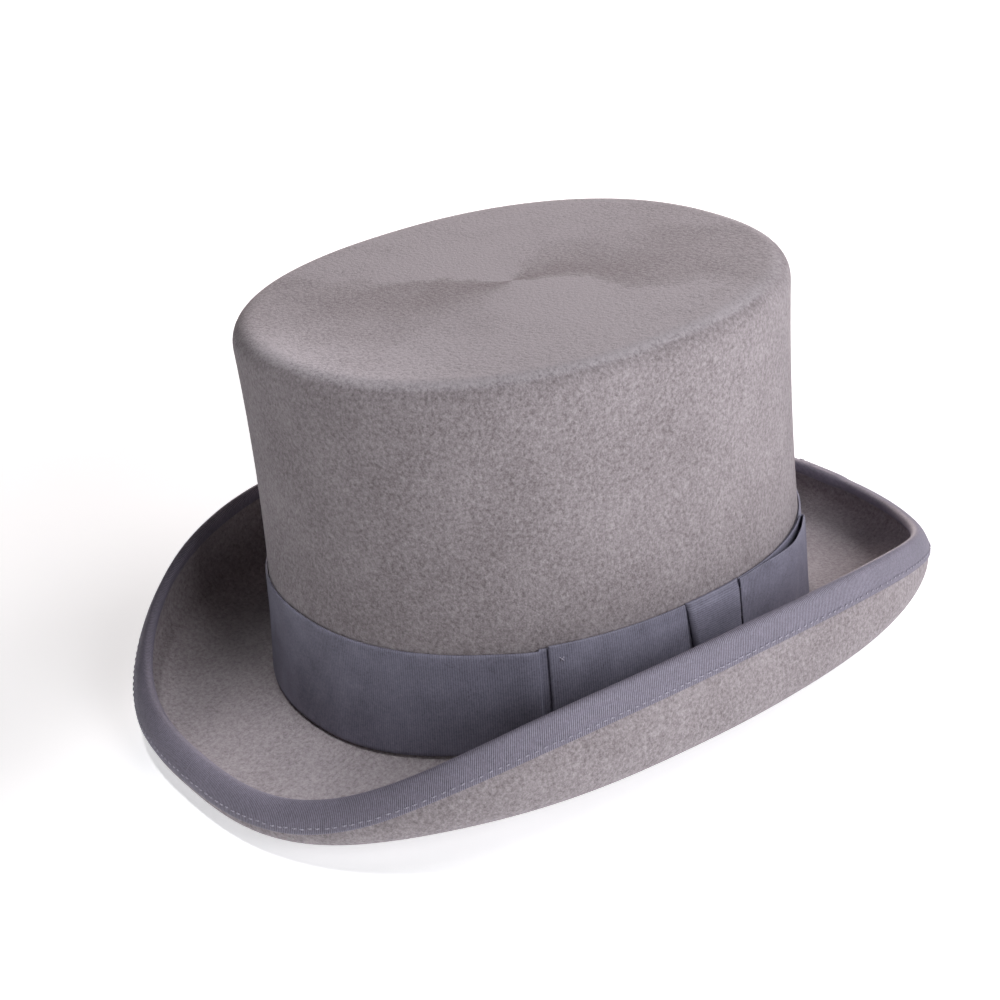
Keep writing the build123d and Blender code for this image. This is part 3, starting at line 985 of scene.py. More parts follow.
@dataclass(frozen=True)
class FeltHood:
    """Crown, tip and brim, blocked from one fur felt hood as a single skin of full thickness."""

    form: HatForm
    columns: int = 480
    set_back: float = 2.0
    corner: float = 1.6
    inner_corner: float = 2.6
    corner_shares: tuple[float, float] = (0.022, 0.015)
    slack: float = 0.35
    wobble: float = 0.22

    def tip_ring(self, angle: Array, share: float, height: float) -> Array:
        """One ring of the flat tip.

        Args:
            angle: Parameter angles.
            share: Share of the way from the middle to the edge's curve.
            height: Height of the tip's face at that curve.

        Returns:
            Points (angles, 3).
        """
        crown = self.form.crown
        width, length = (size - crown.edge_radius for size in crown.half_sizes(height))
        flat = crown.oval.point(angle, width * share, length * share)
        uneven = share**2 * (1 - share**4) * slow_noise(angle, 90.0 * share, 11, 3)
        dip = self.slack * (1 - share**2) + self.wobble * uneven
        return np.concatenate([flat, (height - dip)[:, None]], axis=1)

    def edge_arc(self, angle: Array, inset: float, steps: int) -> list[Array]:
        """Rows round the tip's edge, from its top down.

        Args:
            angle: Parameter angles.
            inset: How far inside the felt's outer face.
            steps: Number of rows.

        Returns:
            The rows.
        """
        crown = self.form.crown
        radius, start = crown.edge_radius - inset, crown.top - crown.edge_radius
        turns = np.linspace(0.0, math.pi / 2, steps)
        return [
            crown.wall(
                angle, start + radius * math.cos(t), radius * math.sin(t) - crown.edge_radius
            )
            for t in turns
        ]

    def outside(self, angle: Array, edge: Array) -> list[Array]:
        """Rows from the middle of the tip down the wall and out over the brim to its edge.

        Args:
            angle: Parameter angles.
            edge: Share of the brim's curve at its edge.

        Returns:
            The rows.
        """
        crown, brim = self.form.crown, self.form.brim
        fold, upper, start = crown.break_line.at(angle), -crown.felt, self.corner_shares[0]
        rows = [self.tip_ring(angle, s, crown.top) for s in np.linspace(0.015, 0.985, 30)]
        rows += self.edge_arc(angle, 0.0, 10)
        base = fold + self.corner
        tall = crown.top - crown.edge_radius - base
        rows += [crown.wall(angle, base + tall * s) for s in np.linspace(0.975, 0.0, 44)]
        rows += bend(rows[-1], crown.wall(angle, fold), brim.curve(angle, start, upper))
        shares = np.linspace(0.0, 1.0, 46)
        return rows + [brim.curve(angle, start + (edge - start) * s, upper) for s in shares]

    def inside(self, angle: Array, edge: Array) -> list[Array]:
        """Rows from the brim's edge back under it, up the wall's inside and under the tip.

        Args:
            angle: Parameter angles.
            edge: Share of the brim's curve at its edge.

        Returns:
            The rows.
        """
        crown, brim, start = self.form.crown, self.form.brim, self.corner_shares[1]
        root = crown.break_line.at(angle) - crown.felt
        shares = np.linspace(1.0, 0.0, 40)
        rows = [brim.curve(angle, start + (edge - start) * s, 0.0) for s in shares]
        low = root + self.inner_corner
        wall = crown.wall(angle, low, -crown.felt)
        rows += bend(rows[-1], crown.wall(angle, root, -crown.felt), wall)
        high = crown.top - crown.edge_radius
        shares = np.linspace(0.0, 0.97, 16)
        rows += [crown.wall(angle, low + (high - low) * s, -crown.felt) for s in shares]
        rows += self.edge_arc(angle, crown.felt, 6)[::-1]
        under = crown.top - crown.felt
        return rows + [self.tip_ring(angle, s, under) for s in np.linspace(0.97, 0.02, 12)]

    def build(self) -> None:
        """Skin over the outside, round the brim's edge and back over the inside."""
        angle = self.form.crown_angles(self.columns)
        edge = self.form.brim.share_at(angle, self.set_back)
        middle, ahead = self.form.brim_edge(angle, edge)
        rows = self.outside(angle, edge)
        over, ahead = rows[-1] - middle, ahead * self.form.crown.felt / 2
        turns = np.linspace(0.0, math.pi, 8)[1:-1]
        rows += [middle + over * math.cos(t) + ahead * math.sin(t) for t in turns]
        parts = MeshParts()
        parts.capped(np.stack(rows + self.inside(angle, edge)))
        settle(parts.piece("felt_hood"), "felt_body", FELT)


@dataclass(frozen=True)
class HatBand:
    """Ribbed ribbon pulled tight round the foot of the crown, doubled under the bow's front end."""

    form: HatForm
    columns: int = 900
    lap_y: float = -54.4
    lap_rise: float = 1.4
    lap_reach: float = 15.0

    def rise(self, angle: Array, share: Array) -> Array:
        """How far the ribbon stands off where the bow's tail lies under it.

        Args:
            angle: Parameter angles.
            share: Shares of the ribbon's width.

        Returns:
            Millimetres to add.
        """
        y = self.form.crown.wall(angle, 35.0)[..., 1]
        side = smooth_step(np.cos(angle), 0.1, 0.3)
        before = smooth_step(y, self.lap_y - self.lap_reach, self.lap_y - 2.0)
        after = 1.0 - smooth_step(y, self.lap_y - 0.5, self.lap_y)
        return self.lap_rise * side * before * after * (0.6 + 0.4 * smooth_step(share, 0.1, 0.6))

    def build(self) -> None:
        """Strip with soft edges that hugs the crown."""
        form = self.form
        fine = form.crown.angle_at(np.linspace(self.lap_y - 3.0, self.lap_y + 1.5, 60))
        even = form.crown_angles(self.columns)
        even = even[(even < fine[0]) | (even > fine[-1])]
        angle = np.sort(np.concatenate([even, fine]))[None, :]
        share = across_ribbon(17)[:, None]
        soft_edge = smooth_step(np.minimum(share, 1 - share), 0.0, 0.012)
        thick = form.ribbon * (0.55 + 0.45 * soft_edge)
        hug = 0.12 * slow_noise(angle, 36.0 * share, 21, 9)
        stand = form.gap + self.rise(angle, share) + np.abs(hug) * 0.8
        wave = 0.18 * slow_noise(angle, 0.0, 22, 7) * (share - 0.2)
        height = form.band_height(angle, share) + wave
        face = form.crown.wall(angle, height, stand + thick)
        back = form.crown.wall(angle, height, np.maximum(stand - 0.05, 0.12))
        parts = MeshParts()
        parts.ribbon(face, back, closed=True)
        settle(parts.piece("hat_band_ribbon"), "hat_band", BAND_RIBBON)


@dataclass(frozen=True)
class BowSpan:
    """Where a piece of the bow lies along the crown's side, at its lower and its upper edge."""

    start: tuple[float, float]
    end: tuple[float, float]

    def at(self, along: Array, share: Array) -> Array:
        """Y position on the piece.

        Args:
            along: Share of the way from its start to its end.
            share: Share of the ribbon's width.

        Returns:
            Y in millimetres.
        """
        first = self.start[0] + (self.start[1] - self.start[0]) * share
        last = self.end[0] + (self.end[1] - self.end[0]) * share
        return first + (last - first) * along


class FreeEnd(Enum):
    """Which end of a wing is its fold, as a share of the way along it."""

    START = 0
    END = 1


@dataclass(frozen=True)
class FlatBow:
    """Flat bow on the wearer's left: two folded wings held under an upright knot."""

    form: HatForm
    front: BowSpan = BowSpan((-52.7, -53.1), (-0.7, -2.6))
    knot: BowSpan = BowSpan((1.9, -2.0), (22.9, 22.9))
    rear: BowSpan = BowSpan((23.05, 23.05), (71.5, 72.5))
    band_width: float = 36.0
    layer: float = 0.45
    under: float = 1.1
    over_edge: float = 0.025
    wing_stand: float = 2.2
    pinch: float = 0.45
    rear_lift: float = 2.3
    folds: tuple[tuple[float, float, float], ...] = (
        (0.62, 0.06, 0.7),
        (0.75, 0.05, -0.9),
        (0.87, 0.05, 0.6),
    )
    knot_stand: float = 2.9
    knot_wrap: float = 0.9
    knot_lean: float = 0.7
    knot_row: float = 22.2
    knot_count: int = 9
    knot_stitch: tuple[float, float, float] = (1.3, 0.35, 0.3)
    tack_place: tuple[float, float] = (-49.6, 0.88)
    tack_stitch: tuple[float, float, float] = (2.2, 0.45, 0.4)

    def place(self, y: Array, share: Array, proud: Array) -> Array:
        """Points over the hat band.

        Args:
            y: Positions along the crown's side.
            share: Shares of the band's width, 0 at its lower edge.
            proud: How far off the crown.

        Returns:
            Array of (x, y, z).
        """
        y, share, proud = np.broadcast_arrays(y, share, proud)
        angle = self.form.crown.angle_at(y)
        return self.form.crown.wall(angle, self.form.band_height(angle, share), proud)

    def away(self, y: Array) -> Array:
        """Level directions away from the crown at positions along its side."""
        level = self.form.crown.out(self.form.crown.angle_at(y))
        return np.concatenate([level, np.zeros((len(level), 1))], axis=1)

    def wing(
        self,
        name: str,
        node: str,
        span: BowSpan,
        outer: Callable[[Array, Array], Array],
        free_end: FreeEnd,
    ) -> None:
        """A loop of ribbon folded flat, its fold at the free end.

        Args:
            name: Name of the piece.
            node: CAD node it stands for.
            span: Where it lies.
            outer: Height of the outer layer's face over the crown, from shares along and across.
            free_end: Where its fold is.
        """
        across = across_ribbon(15)[:, None]
        share = across * (1.0 + self.over_edge)
        run, at_end = np.linspace(0.0, 1.0, 110), free_end is FreeEnd.END
        along = (run if at_end else 1.0 - run)[None, :]
        thin = self.layer * (0.6 + 0.4 * smooth_step(np.minimum(across, 1 - across), 0.0, 0.012))
        turn = np.linspace(0.0, math.pi, 13)[None, 1:-1]
        layers = []
        for side in (0.0, 1.0):
            top = outer(along, across) - side * thin
            foot = self.under + self.layer - thin + side * thin
            middle, radius = (top[:, -1:] + foot) / 2, (top[:, -1:] - foot) / 2
            push = 0.85 * radius * np.sin(turn) * (1.0 if at_end else -1.0)
            y_fold = span.at(np.array([[float(free_end.value)]]), share) + push
            y_top = span.at(along, share)
            y_all = np.concatenate([y_top, y_fold, y_top[:, ::-1]], axis=1)
            rounded, under = middle + radius * np.cos(turn), np.broadcast_to(foot, top.shape)
            proud = np.concatenate([top, rounded, under], axis=1)
            layers.append(self.place(y_all, share, proud))
        parts = MeshParts()
        parts.ribbon(layers[0], layers[1])
        settle(parts.piece(name), node, BAND_RIBBON)

    def edge_ease(self, share: Array) -> Array:
        """How far the outer layer leans in at its two edges, pressed against the band."""
        return 0.25 * (1.0 - smooth_step(np.minimum(share, 1 - share), 0.0, 0.05))

    def front_face(self, along: Array, share: Array) -> Array:
        """Front wing: nearly flat, pinched down towards the knot.

        Args:
            along: Share of the way along the wing.
            share: Share of the ribbon's width.

        Returns:
            Height of its face over the crown.
        """
        swell = 0.25 * np.sin(math.pi * along) * np.sin(math.pi * share)
        pinched = self.pinch * smooth_step(along, 0.85, 1.0)
        return self.wing_stand + swell - self.edge_ease(share) - pinched

    def rear_face(self, along: Array, share: Array) -> Array:
        """Rear wing: it stands off the crown along its top and falls in soft upright folds.

        Args:
            along: Share of the way along the wing.
            share: Share of the ribbon's width.

        Returns:
            Height of its face over the crown.
        """
        rise = smooth_step(along, 0.2, 0.62) * (1.0 - 0.7 * smooth_step(along, 0.68, 1.0))
        lift = self.rear_lift * rise * smooth_step(share, 0.05, 1.0)
        folds = sum(
            size * np.exp(-(((along - middle) / wide) ** 2)) for middle, wide, size in self.folds
        )
        drape = 0.6 * folds * (0.9 - 0.6 * share)
        return self.wing_stand + 0.4 + lift + drape - self.edge_ease(share)

    def build(self) -> None:
        """Both wings, the knot, its closing stitches and the tack on the front wing."""
        front, rear = (self.front, self.front_face), (self.rear, self.rear_face)
        self.wing("bow_front_wing_ribbon", "bow_front_wing", *front, FreeEnd.START)
        self.wing("bow_rear_wing_ribbon", "bow_rear_wing", *rear, FreeEnd.END)
        self.build_knot()
        self.build_knot_stitches()
        self.build_tack()

    def build_knot(self) -> None:
        """Upright band of ribbon over the middle, tucked behind both edges of the hat band."""
        along = across_ribbon(17)[None, :]
        front_rise = 0.3 + 0.7 * smooth_step(along, 0.0, 0.03)
        rear_rise = 0.35 + 0.65 * smooth_step(1 - along, 0.0, 0.05)
        rise = np.minimum(front_rise, rear_rise)
        outer = self.under + self.layer + (self.knot_stand - self.under - self.layer) * rise
        front = np.linspace(0.0, 1.0, 60)[:, None]
        lean = self.knot_lean * (1.0 - smooth_step(np.minimum(front, 1 - front), 0.0, 0.09))
        creases = 0.07 * np.sin(5.0 * front + 4.0 * along) + 0.05 * np.sin(11.0 * front)
        creases = creases * np.sin(math.pi * front)
        turn = np.linspace(0.0, math.pi, 11)[1:-1, None]
        tucked = self.form.gap
        layers = []
        for side in (0.0, 1.0):
            edge = outer - side * self.layer - self.knot_lean
            middle, radius = (edge + tucked) / 2, (edge - tucked) / 2
            wrap = (self.knot_wrap - side * self.layer) / self.band_width * np.sin(turn)
            rounded = middle + radius * np.cos(turn)
            share = np.concatenate([-wrap[::-1], front, 1.0 + wrap])
            face = outer - side * self.layer - lean + creases
            proud = np.concatenate([rounded[::-1], face, rounded])
            y = self.knot.at(along, np.clip(share, 0.0, 1.0))
            layers.append(self.place(y, share, proud))
        parts = MeshParts()
        parts.ribbon(layers[0].swapaxes(0, 1), layers[1].swapaxes(0, 1))
        settle(parts.piece("bow_knot_ribbon"), "bow_knot", BAND_RIBBON)

    def build_knot_stitches(self) -> None:
        """Upright row that closes the knot along its rear edge."""
        share = np.linspace(0.07, 0.93, self.knot_count)
        y = np.full(self.knot_count, self.knot_row)
        spots = self.place(y, share, self.knot_stand)
        ahead = self.place(y, share + 0.02, self.knot_stand) - spots
        parts = MeshParts()
        parts.stitches(spots, ahead, self.away(y), self.knot_stitch)
        settle(parts.piece("bow_knot_thread"), "bow_knot_stitches", DARK_THREAD)

    def build_tack(self) -> None:
        """Two crossed stitches that hold the front wing's end."""
        y, share = np.full(2, self.tack_place[0]), self.tack_place[1]
        spots = self.place(y, share, self.wing_stand)
        up = unit(self.place(y, share + 0.02, self.wing_stand) - spots)
        out = self.away(y)
        side = np.cross(out, up) * np.array([[1.0], [-1.0]])
        parts = MeshParts()
        parts.stitches(spots, up + side, out, self.tack_stitch)
        settle(parts.piece("bow_wing_thread"), "bow_wing_tack", THREAD)


@dataclass(frozen=True)
class BrimBinding:
    """Ribbed ribbon folded over the brim's edge and sewn through, its ends lapped at the back."""

    form: HatForm
    columns: int = 960
    depth: float = 11.4
    inner_depth: float = 4.6
    set_back: float = 2.0
    gap: float = 0.2
    ribbon: float = 0.55
    lap: float = 0.45
    lap_half_turn: float = 0.055
    stitch_depth: float = 9.5
    stitch_pitch: float = 3.0
    stitch: tuple[float, float, float] = (1.9, 0.5, 0.34)
    join_stitch: tuple[float, float, float] = (1.8, 0.45, 0.45)

    def leg(self, angle: Array, share: Array, depth: float) -> Array:
        """Shares of the brim's curve down one leg, with the slight waver of its lower edge.

        Args:
            angle: Angles of the columns.
            share: Share of the leg from its lower edge to the fold, (rows, 1).
            depth: How far the leg reaches below the ridge.

        Returns:
            Shares of the curve, (rows, columns).
        """
        brim = self.form.brim
        start, edge = brim.share_at(angle, depth), brim.share_at(angle, self.set_back)
        lower = brim.share_at(angle, depth + 0.6) - start
        waver = 0.18 * slow_noise(angle, 0.0, 31, 24) * lower
        return start + (edge - start) * share + (1 - share) * waver

    def face(self, angle: Array, share: Array, stand: Array) -> Array:
        """One face of the folded ribbon.

        Args:
            angle: Angles of the columns.
            share: Share of each leg from its lower edge to the fold, (rows, 1).
            stand: How far this face stands off the felt, (rows, columns).

        Returns:
            Points (rows of both legs and the fold, columns, 3).
        """
        brim, felt = self.form.brim, self.form.crown.felt
        edge = brim.share_at(angle, self.set_back)
        outside = brim.curve(angle, self.leg(angle, share, self.depth), stand)
        inside = brim.curve(angle, self.leg(angle, share, self.inner_depth), -felt - stand)
        middle, ahead = self.form.brim_edge(angle, edge)
        over = outside[-1] - middle
        ahead = ahead * np.linalg.norm(over, axis=1, keepdims=True)
        turns = np.linspace(0.0, math.pi, 14)[1:-1]
        fold = np.stack([middle + over * math.cos(t) + ahead * math.sin(t) for t in turns])
        return np.concatenate([outside, fold, inside[::-1]])

    def build(self) -> None:
        """The ribbon, its row of stitches and the hand stitches at its joint."""
        angle = self.form.ridge_angles(self.columns)
        share = np.concatenate([[0.0, 0.035, 0.1], np.linspace(0.2, 1.0, 11)])[:, None]
        lap = self.lap * np.exp(-(((angle - math.pi / 2) / self.lap_half_turn) ** 6))
        pull = 0.05 * slow_noise(angle, 8.0 * share, 32, 30, 16.0)
        thick = self.ribbon * (0.6 + 0.4 * smooth_step(share, 0.0, 0.035))
        parts = MeshParts()
        face = self.face(angle, share, self.gap + thick + lap + pull)
        parts.ribbon(face, self.face(angle, share, np.full_like(pull, self.gap / 2)), closed=True)
        settle(parts.piece("brim_binding_ribbon"), "brim_binding", BINDING_RIBBON)
        self.build_stitches()
        self.build_join()

    def on_leg(self, angle: Array, depth: Array, stand: float) -> tuple[Array, Array]:
        """Points on the outside leg and the directions away from it."""
        share = self.form.brim.share_at(angle, depth)
        return self.form.brim.curve(angle, share, stand), self.form.brim.normal(angle, share)

    def sew(
        self,
        name: str,
        node: str,
        lie: tuple[Array, Array, Array],
        size: tuple[float, float, float],
    ) -> None:
        """Add one group of stitches that lie along the leg.

        Args:
            name: Name of the piece.
            node: CAD node it stands for.
            lie: Middles, directions away from the leg and ways the thread runs.
            size: Length, width and height of a stitch.
        """
        spots, out, along = lie
        along = along - (along * out).sum(axis=1, keepdims=True) * out
        parts = MeshParts()
        parts.stitches(spots, along, out, size)
        settle(parts.piece(name), node, THREAD)

    def build_stitches(self) -> None:
        """Running stitches near the outside leg's lower edge."""
        steps = 4000
        fine = self.form.ridge_angles(steps)
        line, _ = self.on_leg(fine[::10], self.stitch_depth, 0.0)
        round_line = np.concatenate([line, line[:1]])
        length = np.linalg.norm(np.diff(round_line, axis=0), axis=1).sum()
        count = round(length / self.stitch_pitch)
        drift = 0.12 * scatter((count,), 33)
        places = (np.arange(count) + 0.5 + drift) / count * steps
        angle = np.interp(places, np.arange(steps), fine)
        stand = self.gap + self.ribbon
        spots, out = self.on_leg(angle, self.stitch_depth + 0.15 * scatter((count,), 34), stand)
        ahead, _ = self.on_leg(angle + 0.002, self.stitch_depth, stand)
        behind, _ = self.on_leg(angle - 0.002, self.stitch_depth, stand)
        self.sew("binding_thread", "binding_stitches", (spots, out, ahead - behind), self.stitch)

    def build_join(self) -> None:
        """Slanting hand stitches that close the lap at the back."""
        depth = np.linspace(3.5, 9.5, 5)
        angle = np.full(5, math.pi / 2 + 0.052)
        stand = self.gap + self.ribbon + self.lap / 2
        spots, out = self.on_leg(angle, depth, stand)
        ahead, _ = self.on_leg(angle + 0.01, depth + 0.5, stand)
        lie = (spots, out, ahead - spots)
        self.sew("binding_join_thread", "binding_join_stitches", lie, self.join_stitch)


@dataclass(frozen=True)
class Sweatband:
    """Leather band inside the crown, sewn to a reed along its foot, with its seam at the back."""

    form: HatForm
    stand: float = -3.9
    leather: float = 1.1
    tall: float = 54.0
    reed_rise: float = 1.6
    reed_radius: float = 0.9
    foot_count: int = 124
    foot_rise: float = 3.0
    foot_stitch: tuple[float, float, float] = (2.6, 0.5, 0.4)
    seam_span: tuple[float, float] = (28.0, 60.0)
    seam_stitch: tuple[float, float, float] = (2.4, 0.45, 0.45)
    knot_half: tuple[float, float] = (1.9, 2.4)

    def foot(self, angle: Array) -> Array:
        """Height of the leather's lower edge."""
        root = self.form.crown.break_line.at(angle) - self.form.crown.felt
        return root + self.reed_rise + self.reed_radius + self.form.gap

    def build(self) -> None:
        """Leather, reed, both rows of stitches and the small bow."""
        form = self.form
        angle = form.crown_angles(420)[None, :]
        rows = [[0.0, 0.008, 0.025], np.linspace(0.06, 0.94, 22), [0.975, 0.992, 1.0]]
        share = np.concatenate(rows)[:, None]
        skived = smooth_step(np.minimum(share, 1 - share), 0.0, 0.02)
        thick = self.leather * (0.5 + 0.5 * skived)
        ease = 0.35 * np.abs(slow_noise(angle, 40.0 * share, 41, 6)) * share
        height = self.foot(angle) + self.tall * share + 0.3 * share * slow_noise(angle, 0.0, 42, 5)
        outer = self.stand - ease
        face = form.crown.wall(angle, height, outer - thick)
        parts = MeshParts()
        parts.ribbon(face, form.crown.wall(angle, height, outer), closed=True)
        settle(parts.piece("sweatband_leather"), "sweatband", LEATHER)
        self.build_reed()
        self.build_foot_stitches()
        self.build_seam()
        self.build_bow()

    def build_reed(self) -> None:
        """Thin covered reed that stiffens the leather's foot."""
        angle = self.form.crown_angles(360)[None, :]
        turn = np.linspace(0.0, math.tau, 13)[:-1, None]
        root = self.form.crown.break_line.at(angle) - self.form.crown.felt
        height = root + self.reed_rise + self.reed_radius * np.sin(turn)
        proud = self.stand - self.leather / 2 + self.reed_radius * np.cos(turn)
        parts = MeshParts()
        points = self.form.crown.wall(angle, height, proud)
        parts.grid(points, closed_rows=True, closed_columns=True)
        settle(parts.piece("sweatband_reed_cord"), "sweatband_reed", REED)

    def inner_face(self, angle: Array, height: Array) -> tuple[Array, Array]:
        """Points on the leather's inner face and the directions away from it.

        Args:
            angle: Parameter angles.
            height: Heights above the table.

        Returns:
            Points and unit vectors, (angles, 3) each.
        """
        spots = self.form.crown.wall(angle, height, self.stand - self.leather - 0.05)
        out = -np.concatenate([self.form.crown.out(angle), np.zeros((len(angle), 1))], axis=1)
        return spots, out

    def build_foot_stitches(self) -> None:
        """Row that sews the leather to its reed."""
        count = self.foot_count
        angle = self.form.crown_angles(count) + 0.002 * scatter((count,), 43)
        spots, out = self.inner_face(angle, self.foot(angle) + self.foot_rise)
        ahead, _ = self.inner_face(angle + 0.01, self.foot(angle + 0.01) + self.foot_rise)
        parts = MeshParts()
        parts.stitches(spots, ahead - spots, out, self.foot_stitch)
        settle(parts.piece("sweatband_thread"), "sweatband_stitches", THREAD)

    def build_seam(self) -> None:
        """Cross stitches over the seam at the back."""
        height = np.repeat(np.linspace(*self.seam_span, 8), 2)
        count = len(height)
        spots, out = self.inner_face(np.full(count, math.pi / 2), height)
        slant = np.where(np.arange(count) % 2 == 0, 1.0, -1.0)
        ahead = np.stack([slant, np.zeros(count), np.full(count, 0.8)], axis=1)
        parts = MeshParts()
        parts.stitches(spots, ahead, out, self.seam_stitch)
        settle(parts.piece("sweatband_seam_thread"), "sweatband_seam_stitches", THREAD)

    def build_bow(self) -> None:
        """Two small flat loops and their knot, over the foot of the seam."""
        low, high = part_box("sweatband_rear_bow")
        middle = np.array((low + high) / 2) / MM
        half, tall, deep = (np.array(high - low) / MM / 2)[[0, 2, 1]]
        parts = MeshParts()
        run, share = np.linspace(0.0, 1.0, 14)[None, :], np.linspace(-1.0, 1.0, 11)[:, None]
        spread = 0.42 + 0.58 * smooth_step(run, 0.0, 0.7)
        bulge = deep * (0.45 + 0.5 * np.sin(math.pi * np.clip(run * 0.9, 0, 1)))
        front = middle[1] - bulge * (1 - 0.25 * share**2)
        back = np.maximum(middle[1] + deep * 0.55 * (1 - run**4), front + 0.35)
        for side in (-1.0, 1.0):
            x, z = middle[0] + side * half * run, middle[2] + tall * spread * share
            faces = [np.broadcast_arrays(x, y, z) for y in (front, back)]
            parts.ribbon(*(np.stack(face, axis=-1) for face in faces))
        turn = np.linspace(0.0, math.tau, 17)[None, :-1]
        rise = np.linspace(-1.0, 1.0, 9)[:, None]
        knot = (
            middle[0] + self.knot_half[0] * np.cos(turn) * np.sqrt(1 - 0.3 * rise**2),
            middle[1] + deep * 0.98 * np.sin(turn) * np.sqrt(1 - 0.5 * rise**2),
            middle[2] + self.knot_half[1] * rise,
        )
        parts.capped(np.stack(np.broadcast_arrays(*knot), axis=-1))
        made = parts.piece("sweatband_small_bow")
        settle(made, "sweatband_rear_bow", SMALL_RIBBON)


@dataclass(frozen=True)
class SatinLining:
    """Satin up the inside of the crown, gathered a little under the tip, with a covered piping."""

    form: HatForm
    satin: float = 0.5
    stand: float = -3.1
    start: float = 7.0
    shoulder: float = 130.0
    lean: tuple[float, float] = (2.6, 5.6)
    tip_inset: float = 8.4
    piping: tuple[float, float, float] = (-6.9, 136.9, 0.6)
    gather_count: float = 92.0
    gather_depth: float = 0.28
    gather_start: float = 95.0
    free_span: tuple[float, float] = (70.0, 90.0)

    def build(self) -> None:
        """Side strip, tip and piping."""
        crown = self.form.crown
        angle = self.form.crown_angles(480)[None, :]
        rows = [[0.0, 0.01], np.linspace(0.04, 0.93, 30), np.linspace(0.95, 1.0, 5)]
        share = np.concatenate(rows)[:, None]
        low = crown.break_line.at(angle) - crown.felt + self.start
        top = self.shoulder + self.lean[1]
        height = low + (top - low) * share
        leaning = np.clip((height - self.shoulder) / self.lean[1], 0.0, 1.0)
        free = smooth_step(height, *self.free_span)
        uneven = 2.5 * slow_noise(angle, height, 51, 4)
        gathers = self.gather_depth * (1.0 + np.sin(self.gather_count * angle + uneven))
        gathers = gathers * smooth_step(height, self.gather_start, self.shoulder)
        inner = self.stand - self.lean[0] * leaning - self.satin - gathers - 0.3 * free
        outer = self.stand - self.lean[0] * leaning - 0.05
        face = crown.wall(angle, height, inner)
        parts = MeshParts()
        parts.ribbon(face, crown.wall(angle, height, outer), closed=True)
        settle(parts.piece("lining_side_satin"), "lining_side", SATIN)
        self.build_tip()
        self.build_piping()

    def build_tip(self) -> None:
        """Oval of satin under the tip, a little slack in the middle."""
        crown = self.form.crown
        top = crown.top - crown.felt - 0.3
        width, length = (size - self.tip_inset for size in crown.half_sizes(top))
        angle = self.form.crown_angles(240)
        upper, lower = [], []
        for share in np.linspace(0.02, 1.0, 26):
            flat = crown.oval.point(angle, width * share, length * share)
            uneven = 1.0 + 0.5 * slow_noise(angle, 60.0 * share, 52, 4)
            sagged = top - self.satin - 0.5 * (1 - share**2) * uneven
            for rows, height in ((upper, np.full_like(sagged, top)), (lower, sagged)):
                rows.append(np.concatenate([flat, height[:, None]], axis=1))
        parts = MeshParts()
        parts.capped(np.stack(upper + lower[::-1]))
        settle(parts.piece("lining_tip_satin"), "lining_tip", SATIN)

    def build_piping(self) -> None:
        """Covered cord where the side strip meets the tip."""
        angle = self.form.crown_angles(360)[None, :]
        turn = np.linspace(0.0, math.tau, 11)[:-1, None]
        stand, height, radius = self.piping
        parts = MeshParts()
        level, proud = height + radius * np.sin(turn), stand + radius * np.cos(turn)
        points = self.form.crown.wall(angle, level, proud)
        parts.grid(points, closed_rows=True, closed_columns=True)
        settle(parts.piece("lining_piping_cord"), "lining_piping", PIPING)


# ---------------------------------------------------------------- studio


def towards(azimuth: float, elevation: float) -> Vector:
    """Unit direction from the hat.

    Args:
        azimuth: Degrees from the hat's front, round by its left side.
        elevation: Degrees above level.

    Returns:
        The direction.
    """
    turn, rise = math.radians(azimuth), math.radians(elevation)
    level = math.cos(rise)
    return Vector((math.sin(turn) * level, -math.cos(turn) * level, math.sin(rise)))


@dataclass(frozen=True)
class SoftBox:
    """A square soft light aimed at the hat, with an egg-crate grid where its spread is narrow."""

    name: str
    azimuth: float
    elevation: float
    size: float
    power: float
    colour: str
    aim: tuple[float, float, float] = (0.0, 0.0, 0.065)
    reach: float = 1.4
    spread: float = 180.0

    def build(self) -> None:
        """Make the light."""
        lamp = bpy.data.lights.new(self.name, "AREA")
        lamp.size, lamp.energy, lamp.color = self.size, self.power, linear(self.colour)[:3]
        lamp.spread = math.radians(self.spread)
        back = towards(self.azimuth, self.elevation)
        made = bpy.data.objects.new(self.name, lamp)
        made.location = Vector(self.aim) + back * self.reach
        made.rotation_mode = "QUATERNION"
        made.rotation_quaternion = (-back).to_track_quat("-Z", "Y")
        bpy.context.scene.collection.objects.link(made)


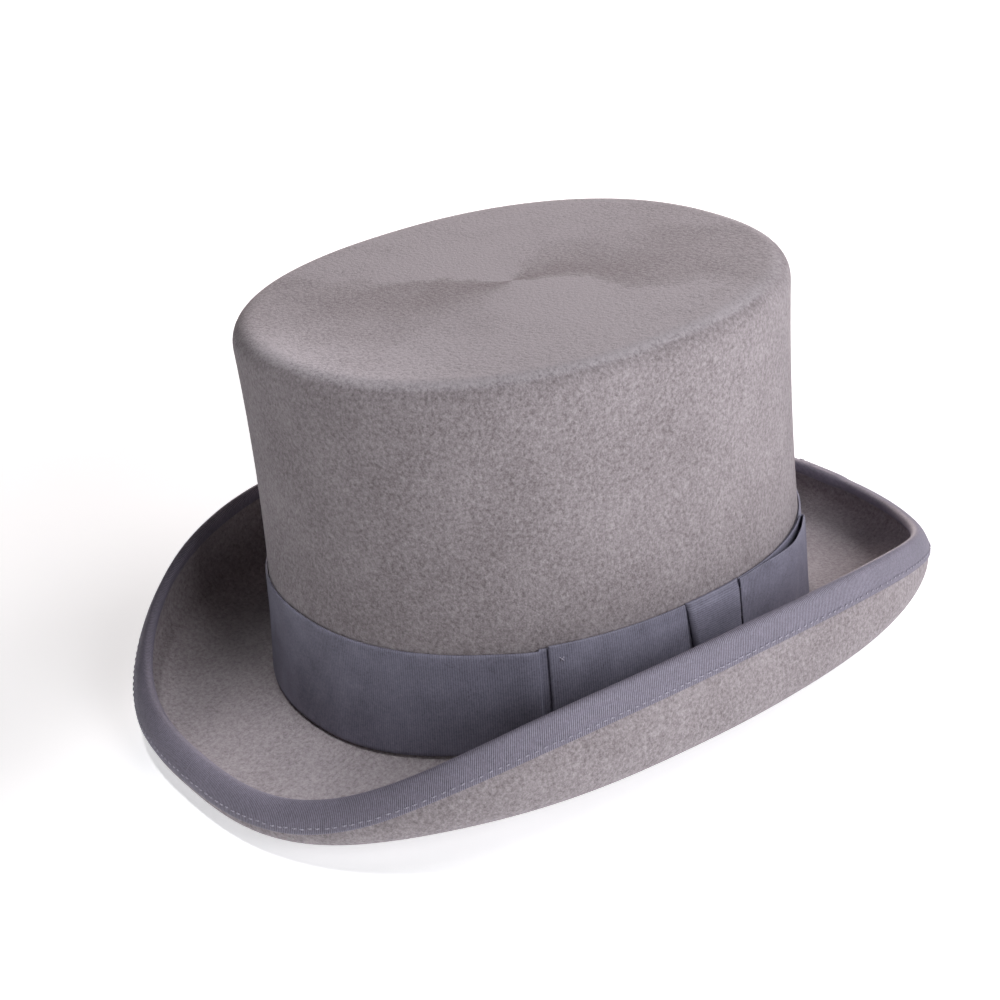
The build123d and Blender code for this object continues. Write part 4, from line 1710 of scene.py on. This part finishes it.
@dataclass(frozen=True)
class Studio:
    """Pale floor, soft lights and the camera, at the hat's front left and above its tip."""

    aim: tuple[float, float, float] = (0.0, 0.0, 0.0649)
    azimuth: float = 55.03
    elevation: float = 25.485
    roll: float = -5.433
    distance: float = 0.69976
    lens: float = 70.29
    shift: tuple[float, float] = (-0.0314, -0.0180)
    ambient: float = 0.02
    floor_half: float = 2.5
    floor_lines: int = 21
    boxes: tuple[SoftBox, ...] = (
        SoftBox("right_soft_box", 95.0, 24.0, 0.7, 10.6, "#fdfcff"),
        SoftBox("back_right_soft_box", 145.0, 40.0, 0.7, 9.4, "#fdfcff"),
        SoftBox("back_low_soft_box", 235.0, 12.0, 0.7, 17.0, "#ffefea"),
        SoftBox(
            "front_grid_soft_box", 4.0, 85.0, 0.1, 0.023, "#fdfcff", (0.012, -0.13, 0.01), 0.8, 11.0
        ),
    )

    def build_floor(self) -> None:
        """Light table under the hat, at the level its brim rests on."""
        mesh = bpy.data.meshes.new("studio_floor")
        steps = np.linspace(-self.floor_half, self.floor_half, self.floor_lines)
        x, y = np.meshgrid(steps, steps)
        points = np.stack([x, y, np.zeros_like(x)], axis=-1).reshape(-1, 3)
        number = np.arange(x.size).reshape(x.shape)
        corners = (number[:-1, :-1], number[:-1, 1:], number[1:, 1:], number[1:, :-1])
        faces = np.stack(corners, axis=-1).reshape(-1, 4)
        mesh.from_pydata(points.tolist(), [], faces.tolist())
        mesh.materials.append(TABLE.material())
        floor = bpy.data.objects.new("studio_floor", mesh)
        bpy.context.scene.collection.objects.link(floor)

    def build_camera(self) -> None:
        """Camera on its stand, turned a little about its own axis."""
        back = towards(self.azimuth, self.elevation)
        lens = bpy.data.cameras.new("camera")
        lens.lens, lens.sensor_width = self.lens, 36.0
        lens.shift_x, lens.shift_y = self.shift
        camera = bpy.data.objects.new("camera", lens)
        camera.location = Vector(self.aim) + back * self.distance
        camera.rotation_mode = "QUATERNION"
        level = (-back).to_track_quat("-Z", "Y")
        camera.rotation_quaternion = level @ Quaternion((0, 0, 1), math.radians(self.roll))
        bpy.context.scene.collection.objects.link(camera)
        bpy.context.scene.camera = camera

    def build(self) -> None:
        """Floor, camera, lights and the faint even surround."""
        self.build_floor()
        self.build_camera()
        for box in self.boxes:
            box.build()
        world = bpy.data.worlds.new("white_surround")
        world.use_nodes = True
        background = world.node_tree.nodes["Background"]
        background.inputs["Color"].default_value = linear("#ffffff")
        background.inputs["Strength"].default_value = self.ambient
        bpy.context.scene.world = world
        bpy.context.scene.view_settings.view_transform = "Standard"


def main() -> None:
    """Load the frame, set up the studio and build the hat round it."""
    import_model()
    Studio().build()
    form = HatForm()
    for assembly in (FeltHood, HatBand, FlatBow, BrimBinding, Sweatband, SatinLining):
        assembly(form).build()


if __name__ == "__main__":
    logging.basicConfig(level=logging.INFO, format="%(name)s %(message)s")
    main()
